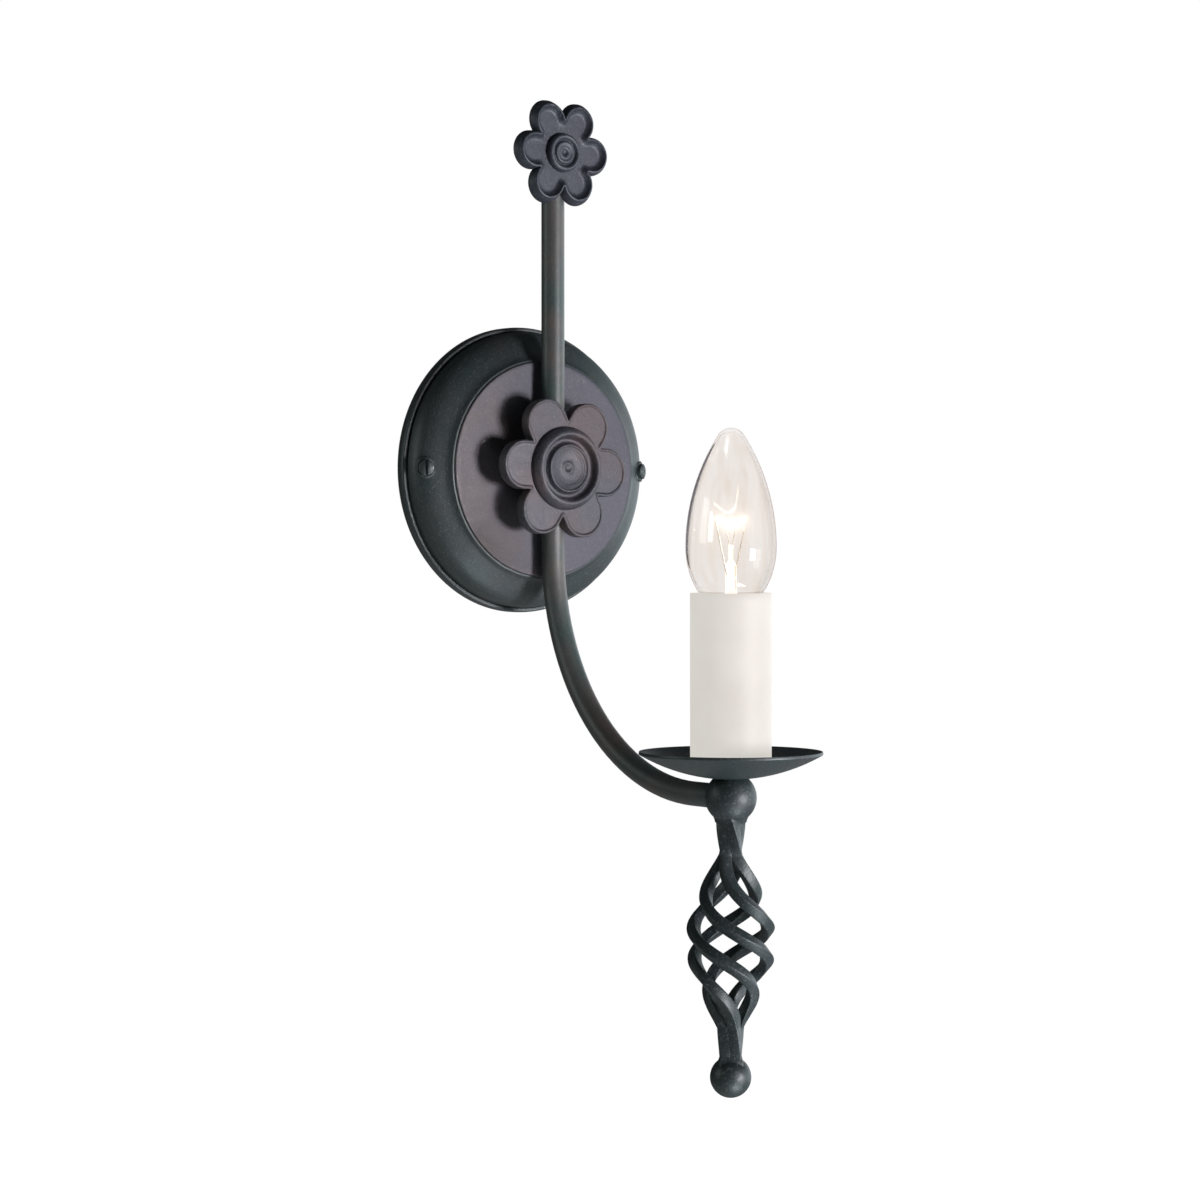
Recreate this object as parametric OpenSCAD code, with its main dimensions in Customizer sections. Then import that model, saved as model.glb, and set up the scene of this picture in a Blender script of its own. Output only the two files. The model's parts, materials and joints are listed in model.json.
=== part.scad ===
// Torch sconce: a wall light with a round backplate, a bent tube arm that
// carries two six-petal flowers, a candle lamp on a drip pan, and a basket of
// four twisted square bars that ends in a ball.
//
// Frame, in millimetres: +X to the right, +Y into the wall, +Z up. The origin
// is the centre of the backplate on the wall. "Out" is the distance from the
// wall into the room, along -Y.

/* [Backplate cover] */
// Diameter over the rim that lies on the wall
cover_d = 120; // [118:1:124]
// Distance from the wall out to the flat face
cover_depth = 20.6; // [20:0.1:22]
// Diameter of the raised flat face
face_d = 89.6; // [88:0.2:91]
// Rise of the flat face above the shoulder
face_rise = 0.8; // [0.4:0.1:1.2]
// Thickness of the spun sheet
cover_wall = 1.2; // [1:0.1:1.4]
// Height of the rim lip
rim_h = 3.2; // [2.6:0.1:3.8]
// Step from the rim lip in to the side
rim_step = 1.3; // [1:0.1:1.6]
// Slope of the shoulder, in degrees from the flat face
shoulder_slope = 29; // [27:1:31]
// Slope of the side, in degrees from the flat face
side_slope = 82; // [80:1:85]
// Radius of the bend from shoulder to side
shoulder_r = 7; // [6.5:0.5:7.5]

/* [Side screws] */
// Thread diameter of the two screws that hold the cover
side_screw_d = 4; // [3.5:0.5:4]
// Diameter of their slotted heads
side_head_d = 7; // [6.5:0.5:7.5]
// Height of their heads
side_head_h = 2.4; // [2:0.1:2.8]
// Depth of the pressed seat under each head
side_seat = 0.3; // [0.2:0.1:0.4]

/* [Wall bracket] */
// Distance between the two wall screws
wall_screw_spacing = 51; // [48:1:54]
// Width of the slots for them
wall_slot_w = 4.5; // [4:0.5:5]
// Length of the slots, end to end
wall_slot_len = 12; // [10:1:13]
// Thickness of the strap
strap_t = 1.5; // [1.2:0.1:1.8]
// Width of the strap
strap_w = 22; // [20:1:24]
// Width of the tapped ears
ear_w = 12; // [10:1:12]
// Gap between an ear and the inside of the cover
ear_gap = 2.4; // [2.2:0.1:2.8]
// Hole for the supply cable
entry_d = 14; // [12:1:14]

/* [Terminal block] */
// Width of the block, from cable side to arm side
block_w = 12; // [11:0.5:12]
// Height of the block from the strap
block_h = 12; // [11:0.5:12.5]
// Distance between its two poles
pole_pitch = 8; // [8:0.5:9]
// Side of the square brass barrels
barrel_w = 5; // [4.5:0.1:5.2]
// Bore of the barrels
barrel_bore = 3; // [2.8:0.1:3.2]

/* [Arm] */
// Outer diameter of the tube
tube_d = 9.6; // [9.2:0.1:10]
// Wall of the tube
tube_wall = 1.2; // [1:0.1:1.4]
// Gap between the back of the tube and the flat face
tube_gap = 0.6; // [0.4:0.1:2]
// Height of the top of the tube above the plate's centre
tube_top = 136; // [134:1:140]
// Radius of the bend at the tube's axis
bend_r = 95; // [88:1:98]
// Drop from the plate's centre to the lower end of the arm
arm_drop = 128.9; // [124:0.1:134]
// Distance from the wall out to the lamp's axis
arm_reach = 144; // [140:1:150]

/* [Centre fixing] */
// Outer diameter of the hollow stud
stud_d = 8; // [7.6:0.1:8.4]
// Bore of the hollow stud
stud_bore = 5.6; // [5.4:0.1:5.8]
// Diameter of the saddle between tube and flat face
saddle_d = 16; // [15:1:18]
// Depth to which the saddle grips the tube
saddle_grip = 2.2; // [1.8:0.1:2.6]
// Thickness of the stud's washer
stud_washer_t = 1; // [0.8:0.1:1.2]
// Thickness of the earth tag
tag_t = 0.8; // [0.6:0.1:1]
// Thickness of the stud's nut
stud_nut_t = 4; // [3.5:0.1:4.2]

/* [Large flower] */
// Diameter over the petal tips
flower_d = 61.2; // [58:0.2:64]
// Radius of each petal's round end
petal_r = 10.1; // [9.7:0.1:10.5]
// Thickness
flower_t = 5.2; // [4.8:0.1:5.6]
// Depth of the dished front inside the petal rims
petal_dish = 0.5; // [0.3:0.1:0.8]
// Width of the petal rims
petal_rim = 1; // [0.8:0.1:1.2]
// Turn of the flower on its stud, clockwise, in degrees
flower_turn = 4; // [0:1:10]
// Diameter of the ringed boss at its foot
boss_d = 34.6; // [33.6:0.2:35]
// Height of the boss
boss_h = 4.3; // [3.9:0.1:4.7]

/* [Small flower] */
// Distance from the top of the tube down to the flower's centre
small_flower_drop = 5.7; // [5:0.1:8]
// Diameter over the petal tips
small_flower_d = 46.7; // [45:0.1:48]
// Radius of each petal's round end
small_petal_r = 8; // [7.8:0.1:8.2]
// Thickness
small_flower_t = 4.6; // [4.4:0.1:5]
// Depth of each spoon-shaped petal
spoon_depth = 2.6; // [2.2:0.1:2.8]
// Width of the petal rims
small_petal_rim = 1; // [0.9:0.1:1.2]
// Diameter of the boss
small_boss_d = 18.4; // [17.6:0.2:19]
// Height of the boss above its seat
small_boss_h = 2.9; // [2.7:0.1:3.3]

/* [Lamp stem] */
// Diameter of the ball that joins arm, pan and basket
ball_d = 20; // [19.6:0.2:20.4]
// Height of the flat top above the ball's centre
ball_flat = 7.6; // [7.4:0.1:7.8]
// Diameter of the hollow nipple through pan and lampholder
nipple_d = 10; // [9.6:0.1:10.2]
// Bore of the nipple
nipple_bore = 8; // [7.6:0.1:8.2]
// Thickness of the nipple's nut
nipple_nut_t = 3; // [2.6:0.1:3.4]

/* [Drip pan] */
// Diameter
pan_d = 71; // [69:0.5:73]
// Thickness of the sheet
pan_wall = 1.2; // [1:0.1:1.4]
// Radius of the dished shape, outside
pan_curve = 70.4; // [68:0.2:74]
// Diameter of the flat middle
pan_flat_d = 18; // [17.6:0.2:19]

/* [Candle] */
// Outer diameter of the candle sleeve
sleeve_d = 31.5; // [31:0.1:32]
// Wall of the sleeve
sleeve_wall = 1; // [0.8:0.1:1.1]
// Length of the sleeve
sleeve_len = 68.4; // [66:0.1:68.6]
// Height of the lampholder's cup
holder_cup_h = 18; // [17:0.5:18.5]
// Height of the lampholder above its cup
holder_h = 37.3; // [36.5:0.1:37.5]
// Diameter of the lampholder's barrel
holder_d = 24.4; // [24:0.2:25]

/* [Lamp] */
// Largest diameter of the glass
lamp_d = 35; // [34.6:0.1:35.2]
// Length from the centre contact to the tip
lamp_len = 97; // [96.5:0.1:98]
// Height of the widest place below the tip
lamp_shoulder = 45.8; // [45:0.1:47]
// Radius of the glass from the widest place up to the tip
lamp_side_r = 80; // [76:1:84]
// Radius of the glass from the widest place down to the cap
lamp_base_r = 33; // [32.6:0.1:34]
// Thickness of the glass
glass_wall = 0.7; // [0.6:0.1:0.8]
// Thread diameter of the cap
cap_d = 13.9; // [13.6:0.1:13.9]
// Pitch of the cap's thread
cap_pitch = 2.82; // [2.7:0.01:2.9]

/* [Basket] */
// Side of the square bars
bar_w = 4.2; // [3.8:0.1:4.3]
// Diameter over the basket at its widest
basket_d = 35.6; // [33:0.2:37]
// Length of the open part
basket_len = 65.5; // [62:0.5:70]
// Length of the closed neck above it, from the ball's underside
upper_neck = 12.6; // [11:0.1:14]
// Length of the closed neck below it, down to the end ball
lower_neck = 11.6; // [10:0.1:14]
// Total twist of the open part, in degrees
basket_twist = 332; // [290:1:350]
// Share of the twist that gathers in the middle
twist_gather = 0.32; // [0.2:0.01:0.5]
// Twist of the closed neck below, in degrees per millimetre
lower_neck_twist = 1.7; // [1:0.1:3]
// Direction of the first bar where the open part starts, in degrees
basket_start = 14; // [0:1:89]
// Fullness of the basket's outline
basket_fullness = 1.15; // [1:0.05:1.4]
// Diameter of the end ball
end_ball_d = 16; // [15.4:0.2:17]

/* [Hidden] */
$fn = 64;

// Clearances
thread_gap = 0.05;   // around a screw or nipple in its hole, at the radius
seat_gap = 0.05;     // around a piece that sits in a socket
slide_gap = 0.15;    // around the lampholder, inside the sleeve
rest_gap = 0.3;      // between curved faces of pieces that move apart
turn_gap = 0.1;      // around the lamp's cap, inside the screw shell
bar_gap = 0.14;      // between neighbouring bars in the closed necks
socket_gap = 0.12;   // around the bundle of bars, in a ball's socket
weld_gap = 0.22;     // around the twisting bars, inside a weld

// Backplate cover, in a half section with x the radius and y the distance out
rim_r = cover_d / 2;
face_r = face_d / 2;
rim_edge = 0.6;                         // rounded edge of the rim lip
foot_rise = 1.2;                        // hollow between rim lip and side
foot_r = rim_r - rim_step;
foot_y = rim_h + foot_rise;
shoulder_y = cover_depth - face_rise;
shoulder_n = [sin(shoulder_slope), cos(shoulder_slope)];
side_n = [sin(side_slope), cos(side_slope)];
bend_a = [face_r, shoulder_y] * shoulder_n - shoulder_r;
bend_b = [foot_r, foot_y] * side_n - shoulder_r;
bend_det = sin(shoulder_slope - side_slope);
bend_c = [(bend_a * side_n[1] - bend_b * shoulder_n[1]) / bend_det,
          (bend_b * shoulder_n[0] - bend_a * side_n[0]) / bend_det];

// Side screws stand square on the bend
side_screw_slope = shoulder_slope + 4;
screw_n = [sin(side_screw_slope), cos(side_screw_slope)];
screw_t = [cos(side_screw_slope), -sin(side_screw_slope)];
screw_seat = bend_c + (shoulder_r - side_seat) * screw_n;
side_screw_len = 7;
side_slot_w = 1;
side_slot_depth = 1.1;
side_washer_d = side_head_d + 0.6;

// Wall bracket
ear_face = shoulder_r - cover_wall - ear_gap;   // from the bend's centre
ear_out = 3.7;                                  // ear beyond its screw
ear_in = 6;                                     // ear before its screw
ear_top = bend_c + ear_face * screw_n - ear_in * screw_t;
leg_x = ear_top[0];
leg_top = ear_top[1];

// Earth screw, through the right leg
earth_screw_d = 4;
earth_screw_out = 8;
earth_head_d = 7.4;
earth_head_h = 2.4;
earth_washer_d = 9;
earth_washer_t = 1;
core_d = 1.7;                                   // insulated single core
earth_washer_x = leg_x - strap_t - core_d - 4 * seat_gap;

// Terminal block, screwed to the strap between cable entry and right slot
block_len = 2 * pole_pitch;
block_x = entry_d / 2 + 1.5;
barrel_out = strap_t + block_h / 2;
barrel_len = block_w - 1;
pole_screw_d = 2.5;
pole_screw_len = 3.2;
pole_well_d = 3.6;
block_screw_d = 2.6;
block_screw_head = 4.4;
block_screw_head_h = 1.6;

// Arm
tube_r = tube_d / 2;
tube_bore_r = tube_r - tube_wall;
tube_out = cover_depth + tube_gap + tube_r;     // axis of the upright
tube_foot = -(arm_drop - bend_r);               // where the bend starts
bend_out = tube_out + bend_r;                   // where the bend ends
socket_depth = 3.5;                             // tube in the joint ball
ball_r = ball_d / 2;
ball_socket_out = arm_reach - 6.5;              // end of the tube
cable_hole_r = stud_bore / 2;

// Centre fixing
saddle_top = tube_out - tube_r + saddle_grip;
stud_top = tube_out - tube_r - seat_gap;
stud_end = cover_depth - cover_wall - stud_washer_t - tag_t - stud_nut_t - 1.6;
stud_washer_d = 16;
stud_nut_af = 13;
tag_out = cover_depth - cover_wall - stud_washer_t - tag_t;
tag_tail = 14;
tag_tail_w = 4;
bush_t = 0.8;

// Flowers sit on the front of the tube
tube_front = tube_out + tube_r;
flower_sink = 0.4;                              // depth of the seat groove
flower_back = tube_front - flower_sink;
flower_front = flower_back + flower_t;
petal_at = flower_d / 2 - petal_r;
petal_side = petal_r - 0.1;                     // half width of its straight part
edge_cut = 0.7;
edge_step = 0.35;                               // step in along the front edge
small_flower_z = tube_top - small_flower_drop;
small_front = flower_back + small_flower_t;
small_petal_at = small_flower_d / 2 - small_petal_r;
small_petal_side = small_petal_r - 0.6;
small_edge_cut = 1.5;
small_edge_step = 0.8;
spoon_dip = 0.3;                                // spoons below the flat floor
small_floor_r = 2 * (small_petal_side - small_edge_step) - small_petal_rim;
flower_stud_d = 4;
flower_stud_in = 1;                             // in the wall of the tube
boss_seat = flower_front - petal_dish;
small_boss_seat = small_front - spoon_depth + spoon_dip;

// Lamp stem, measured up from the centre of the joint ball
pan_bottom = ball_flat;
pan_floor = pan_bottom + pan_wall;
pan_centre = pan_bottom + sqrt(pan_curve * pan_curve - pan_flat_d * pan_flat_d / 4);
nut_top = pan_floor + nipple_nut_t;
nipple_foot = tube_bore_r + 0.3;
nipple_top = nut_top + 6;
nipple_r = nipple_d / 2;
nipple_nut_af = 14;
function pan_inside(r) = pan_centre - sqrt(pow(pan_curve - pan_wall, 2) - r * r);

// Lampholder
sleeve_r = sleeve_d / 2;
sleeve_bore_r = sleeve_r - sleeve_wall;
sleeve_foot = pan_inside(sleeve_r) + rest_gap;
guide_r = sleeve_bore_r - slide_gap;            // what the sleeve slides over
cup_wall = 2;
cup_floor = 3;
cup_top = nut_top + holder_cup_h;
chamber_r = 10.4;
spigot_h = 3;
spigot_r = guide_r - cup_wall - seat_gap;
holder_r = holder_d / 2;
holder_top = cup_top + holder_h;
floor_low = cup_top + 6.8;                      // insulating floor
floor_high = floor_low + 5;
cap_r = cap_d / 2;
shell_wall = 0.4;
shell_r = cap_r + turn_gap + shell_wall;
shell_top = floor_high + 20;
guide_ring_h = 4;
guide_ring_drop = 3;
post_w = 5;
post_h = 8;
post_x = 6.6;
post_bore = 2.2;
terminal_screw_d = 2.5;

// Lamp, measured up from the joint ball too
contact_z = floor_high + 3.5;
lamp_tip = contact_z + lamp_len;
lamp_r = lamp_d / 2;
lamp_wide = lamp_tip - lamp_shoulder;
contact_h = 1.2;
contact_r = 2.4;
cap_foot = contact_z + contact_h + 2.6;
cap_top = contact_z + 24.6;
cap_wall = 0.3;
cap_neck_r = 6.1;                               // roots of the rolled thread
skirt_r = 8.3;
skirt_h = 3.6;
skirt_edge = 2;                                 // straight part of the skirt
glass_foot = cap_top - skirt_edge + 0.4;
glass_neck_r = skirt_r - cap_wall - seat_gap;
glass_cone_angle = 28.6;                        // where the round base turns into a cone
side_centre = lamp_r - lamp_side_r;
base_centre = lamp_r - lamp_base_r;
tip_r = (lamp_side_r * lamp_side_r - side_centre * side_centre - lamp_shoulder * lamp_shoulder)
        / (2 * (lamp_side_r - lamp_shoulder));
stem_foot = glass_foot;
stem_top = contact_z + 47;
stem_flare_r = glass_neck_r - glass_wall - seat_gap;
stem_r = 2.2;
lead_r = 0.3;
lead_foot_x = 1.6;
lead_top_x = 7.2;
lead_top = contact_z + 62;
filament_r = 0.45;
filament_dip = 2.5;
support_x = 2.4;
support_top = lead_top - filament_dip;
support_r = 0.2;

// Basket, measured down from the ball's centre
bar_half = bar_w / sqrt(2);                     // half the bar's diagonal
bar_edge = 0.35;                                // worn corners of the bars
neck_r = bar_half + bar_gap;
bundle_corner = neck_r + bar_half;
bundle_w = bundle_corner * sqrt(2);
bar_sink = 0.2;                                 // bars end below the ball's surface
bars_top = -sqrt(ball_r * ball_r - bundle_corner * bundle_corner) + bar_sink;
open_top = -(ball_r + upper_neck);
open_end = open_top - basket_len;
end_ball_r = end_ball_d / 2;
end_sink = sqrt(end_ball_r * end_ball_r - bundle_corner * bundle_corner) - bar_sink;
bars_end = open_end - lower_neck - (end_ball_r - end_sink);
end_ball_z = bars_end - end_sink;
basket_swell = basket_d / 2 - bar_half - neck_r;
upper_neck_twist = basket_twist * (1 - twist_gather) / basket_len;  // degrees per mm
open_steps = 54;
neck_steps = 8;
socket_w = bundle_w + 2 * socket_gap;
weld_h = 2.4;

// Where a height in the basket lies along the open part, from 0 to 1
function along(z) = (open_top - z) / basket_len;
function bar_angle(z) = basket_start
    + (z > open_top ? (open_top - z) * upper_neck_twist
    : z < open_end ? basket_twist + (open_end - z) * lower_neck_twist
    : basket_twist * (along(z) - twist_gather * sin(360 * along(z)) / (2 * PI)));
function bar_radius(z) = neck_r
    + (z >= open_top || z <= open_end ? 0
    : basket_swell * pow(sin(180 * along(z)), basket_fullness));
function bar_point(z, turn) = let (a = bar_angle(z) + turn, r = bar_radius(z))
    [r * cos(a), r * sin(a), z];

// Outline helpers
function arc(c, r, from, to, n) =
    [for (i = [0:n]) let (a = from + (to - from) * i / n) c + r * [cos(a), sin(a)]];
function unit(v) = v / norm(v);

iron = "#2b2d2f";
steel = "#b9bcc0";
brass = "#c2a14a";
ivory = "#efe9dc";

// Turns a shape drawn in the wall plane (x, z) with its height out from the wall
module outward() { rotate([90, 0, 0]) children(); }

// Places a shape on the lamp's axis, with z = 0 at the centre of the joint ball
module on_stem() { translate([0, -arm_reach, -arm_drop]) children(); }

// A ring or tube on Z
module ring(outer, inner, low, high) {
    translate([0, 0, low]) difference() {
        cylinder(r = outer, h = high - low);
        translate([0, 0, -1]) cylinder(r = inner, h = high - low + 2);
    }
}

// A hexagonal nut on Z
module nut(af, bore_r, low, high) {
    translate([0, 0, low]) difference() {
        cylinder(r = af / 2 / cos(30), h = high - low, $fn = 6);
        translate([0, 0, -1]) cylinder(r = bore_r, h = high - low + 2);
    }
}

// A slotted screw on Z: the head's seat is at 0 and the shank points down
module slotted_screw(d, len, head_d, head_h, slot_w, slot_depth) {
    translate([0, 0, -len]) cylinder(d = d, h = len + 0.01);
    difference() {
        union() {
            cylinder(d = head_d, h = head_h * 0.7);
            translate([0, 0, head_h * 0.7])
                cylinder(d1 = head_d, d2 = head_d * 0.8, h = head_h * 0.3);
        }
        translate([-slot_w / 2, -head_d, head_h - slot_depth])
            cube([slot_w, 2 * head_d, slot_depth + 1]);
    }
}

// The line of a side screw: children stand on the cover with Z along the screw
module on_side(side) {
    mirror([side < 0 ? 1 : 0, 0, 0])
        translate([screw_seat[0], -screw_seat[1], 0])
            rotate([90, 0, 0]) rotate([0, side_screw_slope, 0]) children();
}

// ---- Backplate ----

// Half section of the cover from the middle out to the rim, pushed in by w
function cover_line(w) = concat(
    [[0, cover_depth - w], [face_r - w - (w > 0 ? 0 : 0.4), cover_depth - w]],
    w > 0 ? [] : [[face_r, cover_depth - 0.4]],
    [[face_r - w, shoulder_y - w / cos(shoulder_slope) + w * tan(shoulder_slope)]],
    arc(bend_c, shoulder_r - w, 90 - shoulder_slope, 90 - side_slope, 8));

module backplate_cover() {
    color(iron) outward() difference() {
        rotate_extrude() polygon(concat(
            cover_line(0),
            arc([foot_r + foot_rise, foot_y], foot_rise, 180, 235, 3),
            [[rim_r - rim_edge, rim_h], [rim_r, rim_h - rim_edge], [rim_r, 0],
             [foot_r - cover_wall, 0], [foot_r - cover_wall, foot_y]],
            [for (i = [len(cover_line(cover_wall)) - 1:-1:0]) cover_line(cover_wall)[i]]));
        translate([0, 0, cover_depth - 2 * cover_wall])
            cylinder(d = stud_d + 2 * thread_gap, h = 3 * cover_wall);
        for (side = [-1, 1]) rotate([-90, 0, 0]) on_side(side) {
            cylinder(d = side_washer_d, h = 3);
            translate([0, 0, -4]) cylinder(d = side_screw_d + 0.4, h = 5);
        }
    }
}

module side_screw(side) {
    color(iron) on_side(side)
        rotate([0, 0, side < 0 ? 0 : 90])
            slotted_screw(side_screw_d, side_screw_len, side_head_d, side_head_h,
                side_slot_w, side_slot_depth);
}
module side_screw_left() { side_screw(-1); }
module side_screw_right() { side_screw(1); }

// ---- Wall bracket ----

module wall_bracket() {
    color(steel) difference() {
        union() {
            translate([-leg_x, -strap_t, -strap_w / 2])
                cube([2 * leg_x, strap_t, strap_w]);
            for (side = [0, 1]) mirror([side, 0, 0]) {
                translate([leg_x - strap_t, -leg_top, -ear_w / 2])
                    cube([strap_t, leg_top, ear_w]);
                translate([bend_c[0] + ear_face * screw_n[0],
                           -bend_c[1] - ear_face * screw_n[1], 0])
                    rotate([0, 0, side_screw_slope])
                        translate([-ear_in, 0, -ear_w / 2])
                            cube([ear_in + ear_out, strap_t, ear_w]);
            }
        }
        outward() {
            translate([0, 0, -1]) cylinder(d = entry_d, h = strap_t + 2);
            for (side = [-1, 1]) translate([side * wall_screw_spacing / 2, 0, -1]) {
                slot_run = wall_slot_len - wall_slot_w;
                for (end = [-1, 1]) translate([end * slot_run / 2, 0, 0])
                    cylinder(d = wall_slot_w, h = strap_t + 2);
                translate([-slot_run / 2, -wall_slot_w / 2, 0])
                    cube([slot_run, wall_slot_w, strap_t + 2]);
            }
            translate([block_x + block_w / 2, 0, -1])
                cylinder(d = block_screw_d + 2 * thread_gap, h = strap_t + 2);
        }
        for (side = [-1, 1]) on_side(side) translate([0, 0, -side_screw_len])
            cylinder(d = side_screw_d + 2 * thread_gap, h = side_screw_len);
        translate([leg_x - 2 * strap_t, -earth_screw_out, 0]) rotate([0, 90, 0])
            cylinder(d = earth_screw_d + 2 * thread_gap, h = 3 * strap_t);
    }
}

module earth_screw() {
    shank = core_d + 4 * seat_gap + earth_washer_t + strap_t + 0.8;
    color(brass) translate([earth_washer_x - earth_washer_t, -earth_screw_out, 0])
        rotate([0, -90, 0])
            slotted_screw(earth_screw_d, shank, earth_head_d, earth_head_h, 1, 1);
}

module earth_washer() {
    color(brass) translate([earth_washer_x - earth_washer_t, -earth_screw_out, 0])
        rotate([0, 90, 0])
            ring(earth_washer_d / 2, earth_screw_d / 2 + thread_gap, 0, earth_washer_t);
}

// ---- Terminal block ----

module terminal_block() {
    color("#e8e6df") difference() {
        translate([block_x, -strap_t - block_h, -block_len / 2])
            cube([block_w, block_h, block_len]);
        for (side = [-1, 1]) translate([0, 0, side * pole_pitch / 2]) {
            translate([block_x - 1, -barrel_out - barrel_w / 2 - seat_gap,
                       -barrel_w / 2 - seat_gap])
                cube([block_w + 2, barrel_w + 2 * seat_gap, barrel_w + 2 * seat_gap]);
            for (end = [-1, 1]) translate([block_x + block_w / 2 + end * barrel_len / 4, 0, 0])
                outward() translate([0, 0, barrel_out])
                    cylinder(d = pole_well_d, h = block_h);
        }
        outward() translate([block_x + block_w / 2, 0, 0]) {
            cylinder(d = block_screw_d + 2 * thread_gap, h = strap_t + block_h + 1);
            translate([0, 0, strap_t + block_h - 2 * block_screw_head_h])
                cylinder(d = block_screw_head + 0.3, h = 2 * block_screw_head_h + 1);
        }
    }
}

module terminal_barrels() {
    color(brass) for (side = [-1, 1]) difference() {
        translate([block_x + (block_w - barrel_len) / 2, -barrel_out - barrel_w / 2,
                   side * pole_pitch / 2 - barrel_w / 2])
            cube([barrel_len, barrel_w, barrel_w]);
        translate([block_x - 1, -barrel_out, side * pole_pitch / 2]) rotate([0, 90, 0])
            cylinder(d = barrel_bore, h = block_w + 2);
        for (end = [-1, 1])
            translate([block_x + block_w / 2 + end * barrel_len / 4, 0, side * pole_pitch / 2])
                outward() translate([0, 0, barrel_out])
                    cylinder(d = pole_screw_d + 2 * thread_gap, h = barrel_w);
    }
}

module terminal_screws() {
    color(steel) for (side = [-1, 1], end = [-1, 1])
        translate([block_x + block_w / 2 + end * barrel_len / 4, 0, side * pole_pitch / 2])
            outward() translate([0, 0, barrel_out + core_d / 2 + seat_gap]) difference() {
                cylinder(d = pole_screw_d, h = pole_screw_len);
                translate([-0.3, -pole_screw_d, pole_screw_len - 0.7])
                    cube([0.6, 2 * pole_screw_d, 1]);
            }
}

module terminal_block_screw() {
    seat = strap_t + block_h - 2 * block_screw_head_h;
    color(steel) translate([block_x + block_w / 2, 0, 0]) outward()
        translate([0, 0, seat])
            slotted_screw(block_screw_d, seat - 0.1, block_screw_head, block_screw_head_h, 0.8, 0.8);
}

// ---- Centre fixing ----

module arm_saddle() {
    color(iron) difference() {
        outward() ring(saddle_d / 2, stud_d / 2 + thread_gap, cover_depth, saddle_top);
        translate([0, -tube_out, -saddle_d]) cylinder(r = tube_r + seat_gap, h = 2 * saddle_d);
    }
}

module hollow_stud() {
    color(steel) difference() {
        outward() ring(stud_d / 2, stud_bore / 2, stud_end, saddle_top);
        translate([0, -tube_out, -saddle_d]) cylinder(r = tube_r + seat_gap, h = 2 * saddle_d);
    }
}

module stud_bush() {
    color("#d8d6cf") outward() {
        ring(stud_d / 2, stud_bore / 2 - bush_t, stud_end - bush_t, stud_end);
        ring(stud_bore / 2 - seat_gap, stud_bore / 2 - bush_t, stud_end - bush_t, stud_end + 3);
    }
}

module stud_washer() {
    color(steel) outward() ring(stud_washer_d / 2, stud_d / 2 + thread_gap,
        cover_depth - cover_wall - stud_washer_t, cover_depth - cover_wall);
}

module earth_tag() {
    color(brass) outward() difference() {
        union() {
            translate([0, 0, tag_out]) cylinder(d = stud_washer_d, h = tag_t);
            translate([0, -tag_tail_w / 2, tag_out]) cube([tag_tail, tag_tail_w, tag_t]);
        }
        translate([0, 0, tag_out - 1]) cylinder(r = stud_d / 2 + thread_gap, h = tag_t + 2);
    }
}

module stud_nut() {
    color(steel) outward() nut(stud_nut_af, stud_d / 2 + thread_gap, tag_out - stud_nut_t, tag_out);
}

// ---- Arm ----

// The arm's path as a round bar of radius r, from the top to the joint ball
module arm_bar(r, top, end_out) {
    translate([0, -tube_out, tube_foot]) cylinder(r = r, h = top - tube_foot);
    translate([0, -bend_out, tube_foot]) rotate([90, 0, 90]) rotate([0, 0, 270])
        rotate_extrude(angle = 90) translate([bend_r, 0]) circle(r = r);
    translate([0, -bend_out, -arm_drop]) rotate([90, 0, 0]) cylinder(r = r, h = end_out - bend_out);
}

module arm_tube() {
    color(iron) difference() {
        arm_bar(tube_r, tube_top, ball_socket_out);
        arm_bar(tube_bore_r, tube_top + 1, ball_socket_out + 1);
        outward() translate([0, 0, tube_out - tube_d]) cylinder(r = cable_hole_r, h = tube_d);
        for (z = [0, small_flower_z]) translate([0, 0, z]) outward() translate([0, 0, tube_out])
            cylinder(d = flower_stud_d + 2 * thread_gap, h = tube_d);
    }
}

module tube_end_cap() {
    dome = 1.6;
    color(iron) translate([0, -tube_out, tube_top]) {
        cylinder(r1 = tube_r, r2 = tube_r - dome, h = dome);
        translate([0, 0, -3]) cylinder(r = tube_bore_r - seat_gap, h = 3.01);
    }
}

// ---- Flowers ----

// The outline of six petals with straight sides and round ends
module petal_outline(at, r, side) {
    for (i = [0:5]) rotate(60 * i) {
        translate([at, 0]) circle(r = r);
        translate([0, -side]) square([at, 2 * side]);
    }
}

// Six petals with a step along the front edge
module petals(at, r, side, t, cut, step) {
    linear_extrude(t - cut) petal_outline(at, r, side);
    linear_extrude(t) petal_outline(at, r - step, side - step);
}

// The groove in a flower's back that seats on the tube, and its stud hole
module flower_seat() {
    rotate([-90, 0, 0]) translate([0, -tube_out, -flower_d])
        cylinder(r = tube_r + seat_gap, h = 2 * flower_d);
    cylinder(d = flower_stud_d + 2 * thread_gap, h = 2 * tube_out);
}

module large_flower() {
    color(iron) outward() difference() {
        rotate(-flower_turn) translate([0, 0, flower_back])
            petals(petal_at, petal_r, petal_side, flower_t, edge_cut, edge_step);
        translate([0, 0, boss_seat]) {
            rotate(-flower_turn) linear_extrude(flower_t)
                petal_outline(petal_at, petal_r - petal_rim, petal_side - petal_rim);
            cylinder(r = boss_d / 2 + seat_gap, h = flower_t);
        }
        flower_seat();
    }
}

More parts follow.
